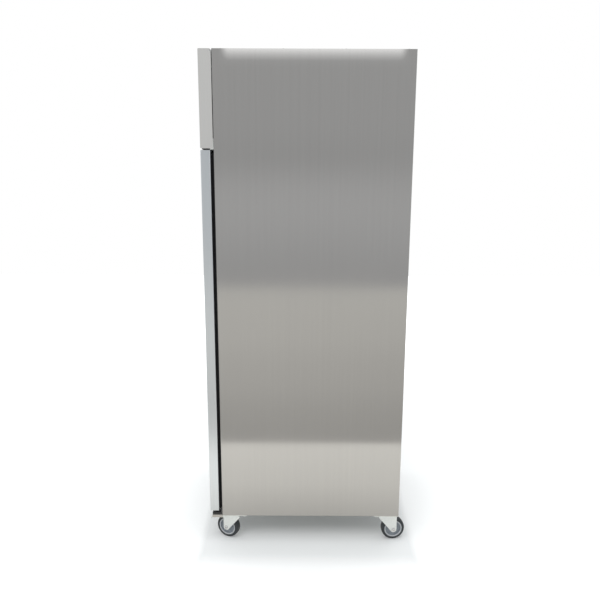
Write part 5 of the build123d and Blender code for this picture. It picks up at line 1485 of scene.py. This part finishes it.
# The glow that the camera sees. It is low next to the cabinet, which is painted shade round it, and rises to white
# further out.
view_glow_with_painted_shade = glow_by_distance(distance_from(0.36, 3.0), (
    (0.0, 0.04), (0.04, 0.10), (0.08, 0.18), (0.14, 0.15), (0.23, 0.17), (0.32, 0.34), (1.34, 0.5), (2.1, 1.0),
))
seen = tree_nodes.new("ShaderNodeMix")
seen.data_type = "RGBA"
links.new(path.outputs["Is Glossy Ray"], seen.inputs["Factor"])
links.new(view_glow_with_painted_shade, seen.inputs["A"])
links.new(in_steel, seen.inputs["B"])
links.new(seen.outputs["Result"], glow.inputs["Color"])
mirrored = tree_nodes.new("ShaderNodeMath")
mirrored.operation = "MAXIMUM"
links.new(path.outputs["Is Camera Ray"], mirrored.inputs[0])
links.new(path.outputs["Is Glossy Ray"], mirrored.inputs[1])
through = tree_nodes.new("ShaderNodeMath")
through.operation = "MAXIMUM"
links.new(mirrored.outputs["Value"], through.inputs[0])
links.new(path.outputs["Is Transmission Ray"], through.inputs[1])
links.new(through.outputs["Value"], glow.inputs["Strength"])
both = tree_nodes.new("ShaderNodeAddShader")
links.new(lit.outputs["BSDF"], both.inputs[0])
links.new(glow.outputs["Emission"], both.inputs[1])
links.new(both.outputs["Shader"], tree_nodes["Material Output"].inputs["Surface"])
floor_data.materials.append(floor_finish)
print("floor reaches", FLOOR_REACH, "m past the cabinet")

# %% World
world = bpy.data.worlds.new("studio")
bpy.context.scene.world = world
world.use_nodes = True
tree_nodes = world.node_tree.nodes
links = world.node_tree.links
back = tree_nodes["Background"]
path = tree_nodes.new("ShaderNodeLightPath")
place = tree_nodes.new("ShaderNodeTexCoord")
split = tree_nodes.new("ShaderNodeSeparateXYZ")
links.new(place.outputs["Generated"], split.inputs["Vector"])
lift = between(tree_nodes, links, split.outputs["Z"], 0.0, 1.0, -1.0, 1.0)
ROOM_TONES = (
    (0.39, 0.57), (0.409, 0.61), (0.428, 0.665), (0.448, 0.71), (0.467, 0.70), (0.486, 0.57), (0.505, 0.615),
    (0.54, 0.62), (0.60, 0.66), (0.64, 0.85), (0.70, 0.95), (0.80, 0.90),
)
STRIP_TONES = ((0.60, 0.0), (0.64, 0.15), (0.70, 0.85), (0.74, 0.80), (0.78, 0.0))


def tones_by_height(stops):
    """A grey for each height in the room."""
    ramp = tree_nodes.new("ShaderNodeValToRGB")
    for n, (height, value) in enumerate(stops):
        row = ramp.color_ramp.elements
        stop = row[n] if n < 2 else row.new(height)
        stop.position = height
        stop.color = (value, value, value, 1)
    links.new(lift, ramp.inputs["Fac"])
    return ramp.outputs["Color"]


hinge_wall = between(tree_nodes, links, split.outputs["X"], 0.0, 1.0, 0.55, 0.80)
room = tree_nodes.new("ShaderNodeMix")
room.data_type = "RGBA"
room.blend_type = "ADD"
links.new(hinge_wall, room.inputs["Factor"])
links.new(tones_by_height(ROOM_TONES), room.inputs["A"])
links.new(tones_by_height(STRIP_TONES), room.inputs["B"])
glossy = tree_nodes.new("ShaderNodeMix")
glossy.data_type = "RGBA"
glossy.inputs["A"].default_value = (0.62, 0.62, 0.63, 1)
links.new(path.outputs["Is Glossy Ray"], glossy.inputs["Factor"])
links.new(room.outputs["Result"], glossy.inputs["B"])
white = tree_nodes.new("ShaderNodeMath")
white.operation = "MAXIMUM"
links.new(path.outputs["Is Camera Ray"], white.inputs[0])
links.new(path.outputs["Is Transmission Ray"], white.inputs[1])
seen = tree_nodes.new("ShaderNodeMix")
seen.data_type = "RGBA"
seen.inputs["B"].default_value = (1, 1, 1, 1)
links.new(white.outputs["Value"], seen.inputs["Factor"])
links.new(glossy.outputs["Result"], seen.inputs["A"])
links.new(seen.outputs["Result"], back.inputs["Color"])

# %% Lamps
def softbox(name, place, aim, width, height, power):
    """A rectangular lamp that faces a point."""
    data = bpy.data.lights.new(name, "AREA")
    data.shape = "RECTANGLE"
    data.size = width
    data.size_y = height
    data.energy = power
    made = bpy.data.objects.new(name, data)
    run = Vector(aim) - Vector(place)
    made.matrix_world = Matrix.Translation(place) @ run.to_track_quat("-Z", "Y").to_matrix().to_4x4()
    made.visible_glossy = False
    bpy.context.scene.collection.objects.link(made)


softbox("overhead", (0.4, 0.0, 3.7), (0, 0, 0.5), 3.6, 3.6, 62)
softbox("hinge_side", (3.3, -1.7, 3.7), (0, 0, 1.0), 2.0, 1.6, 30)
bpy.context.scene.view_settings.view_transform = "Standard"
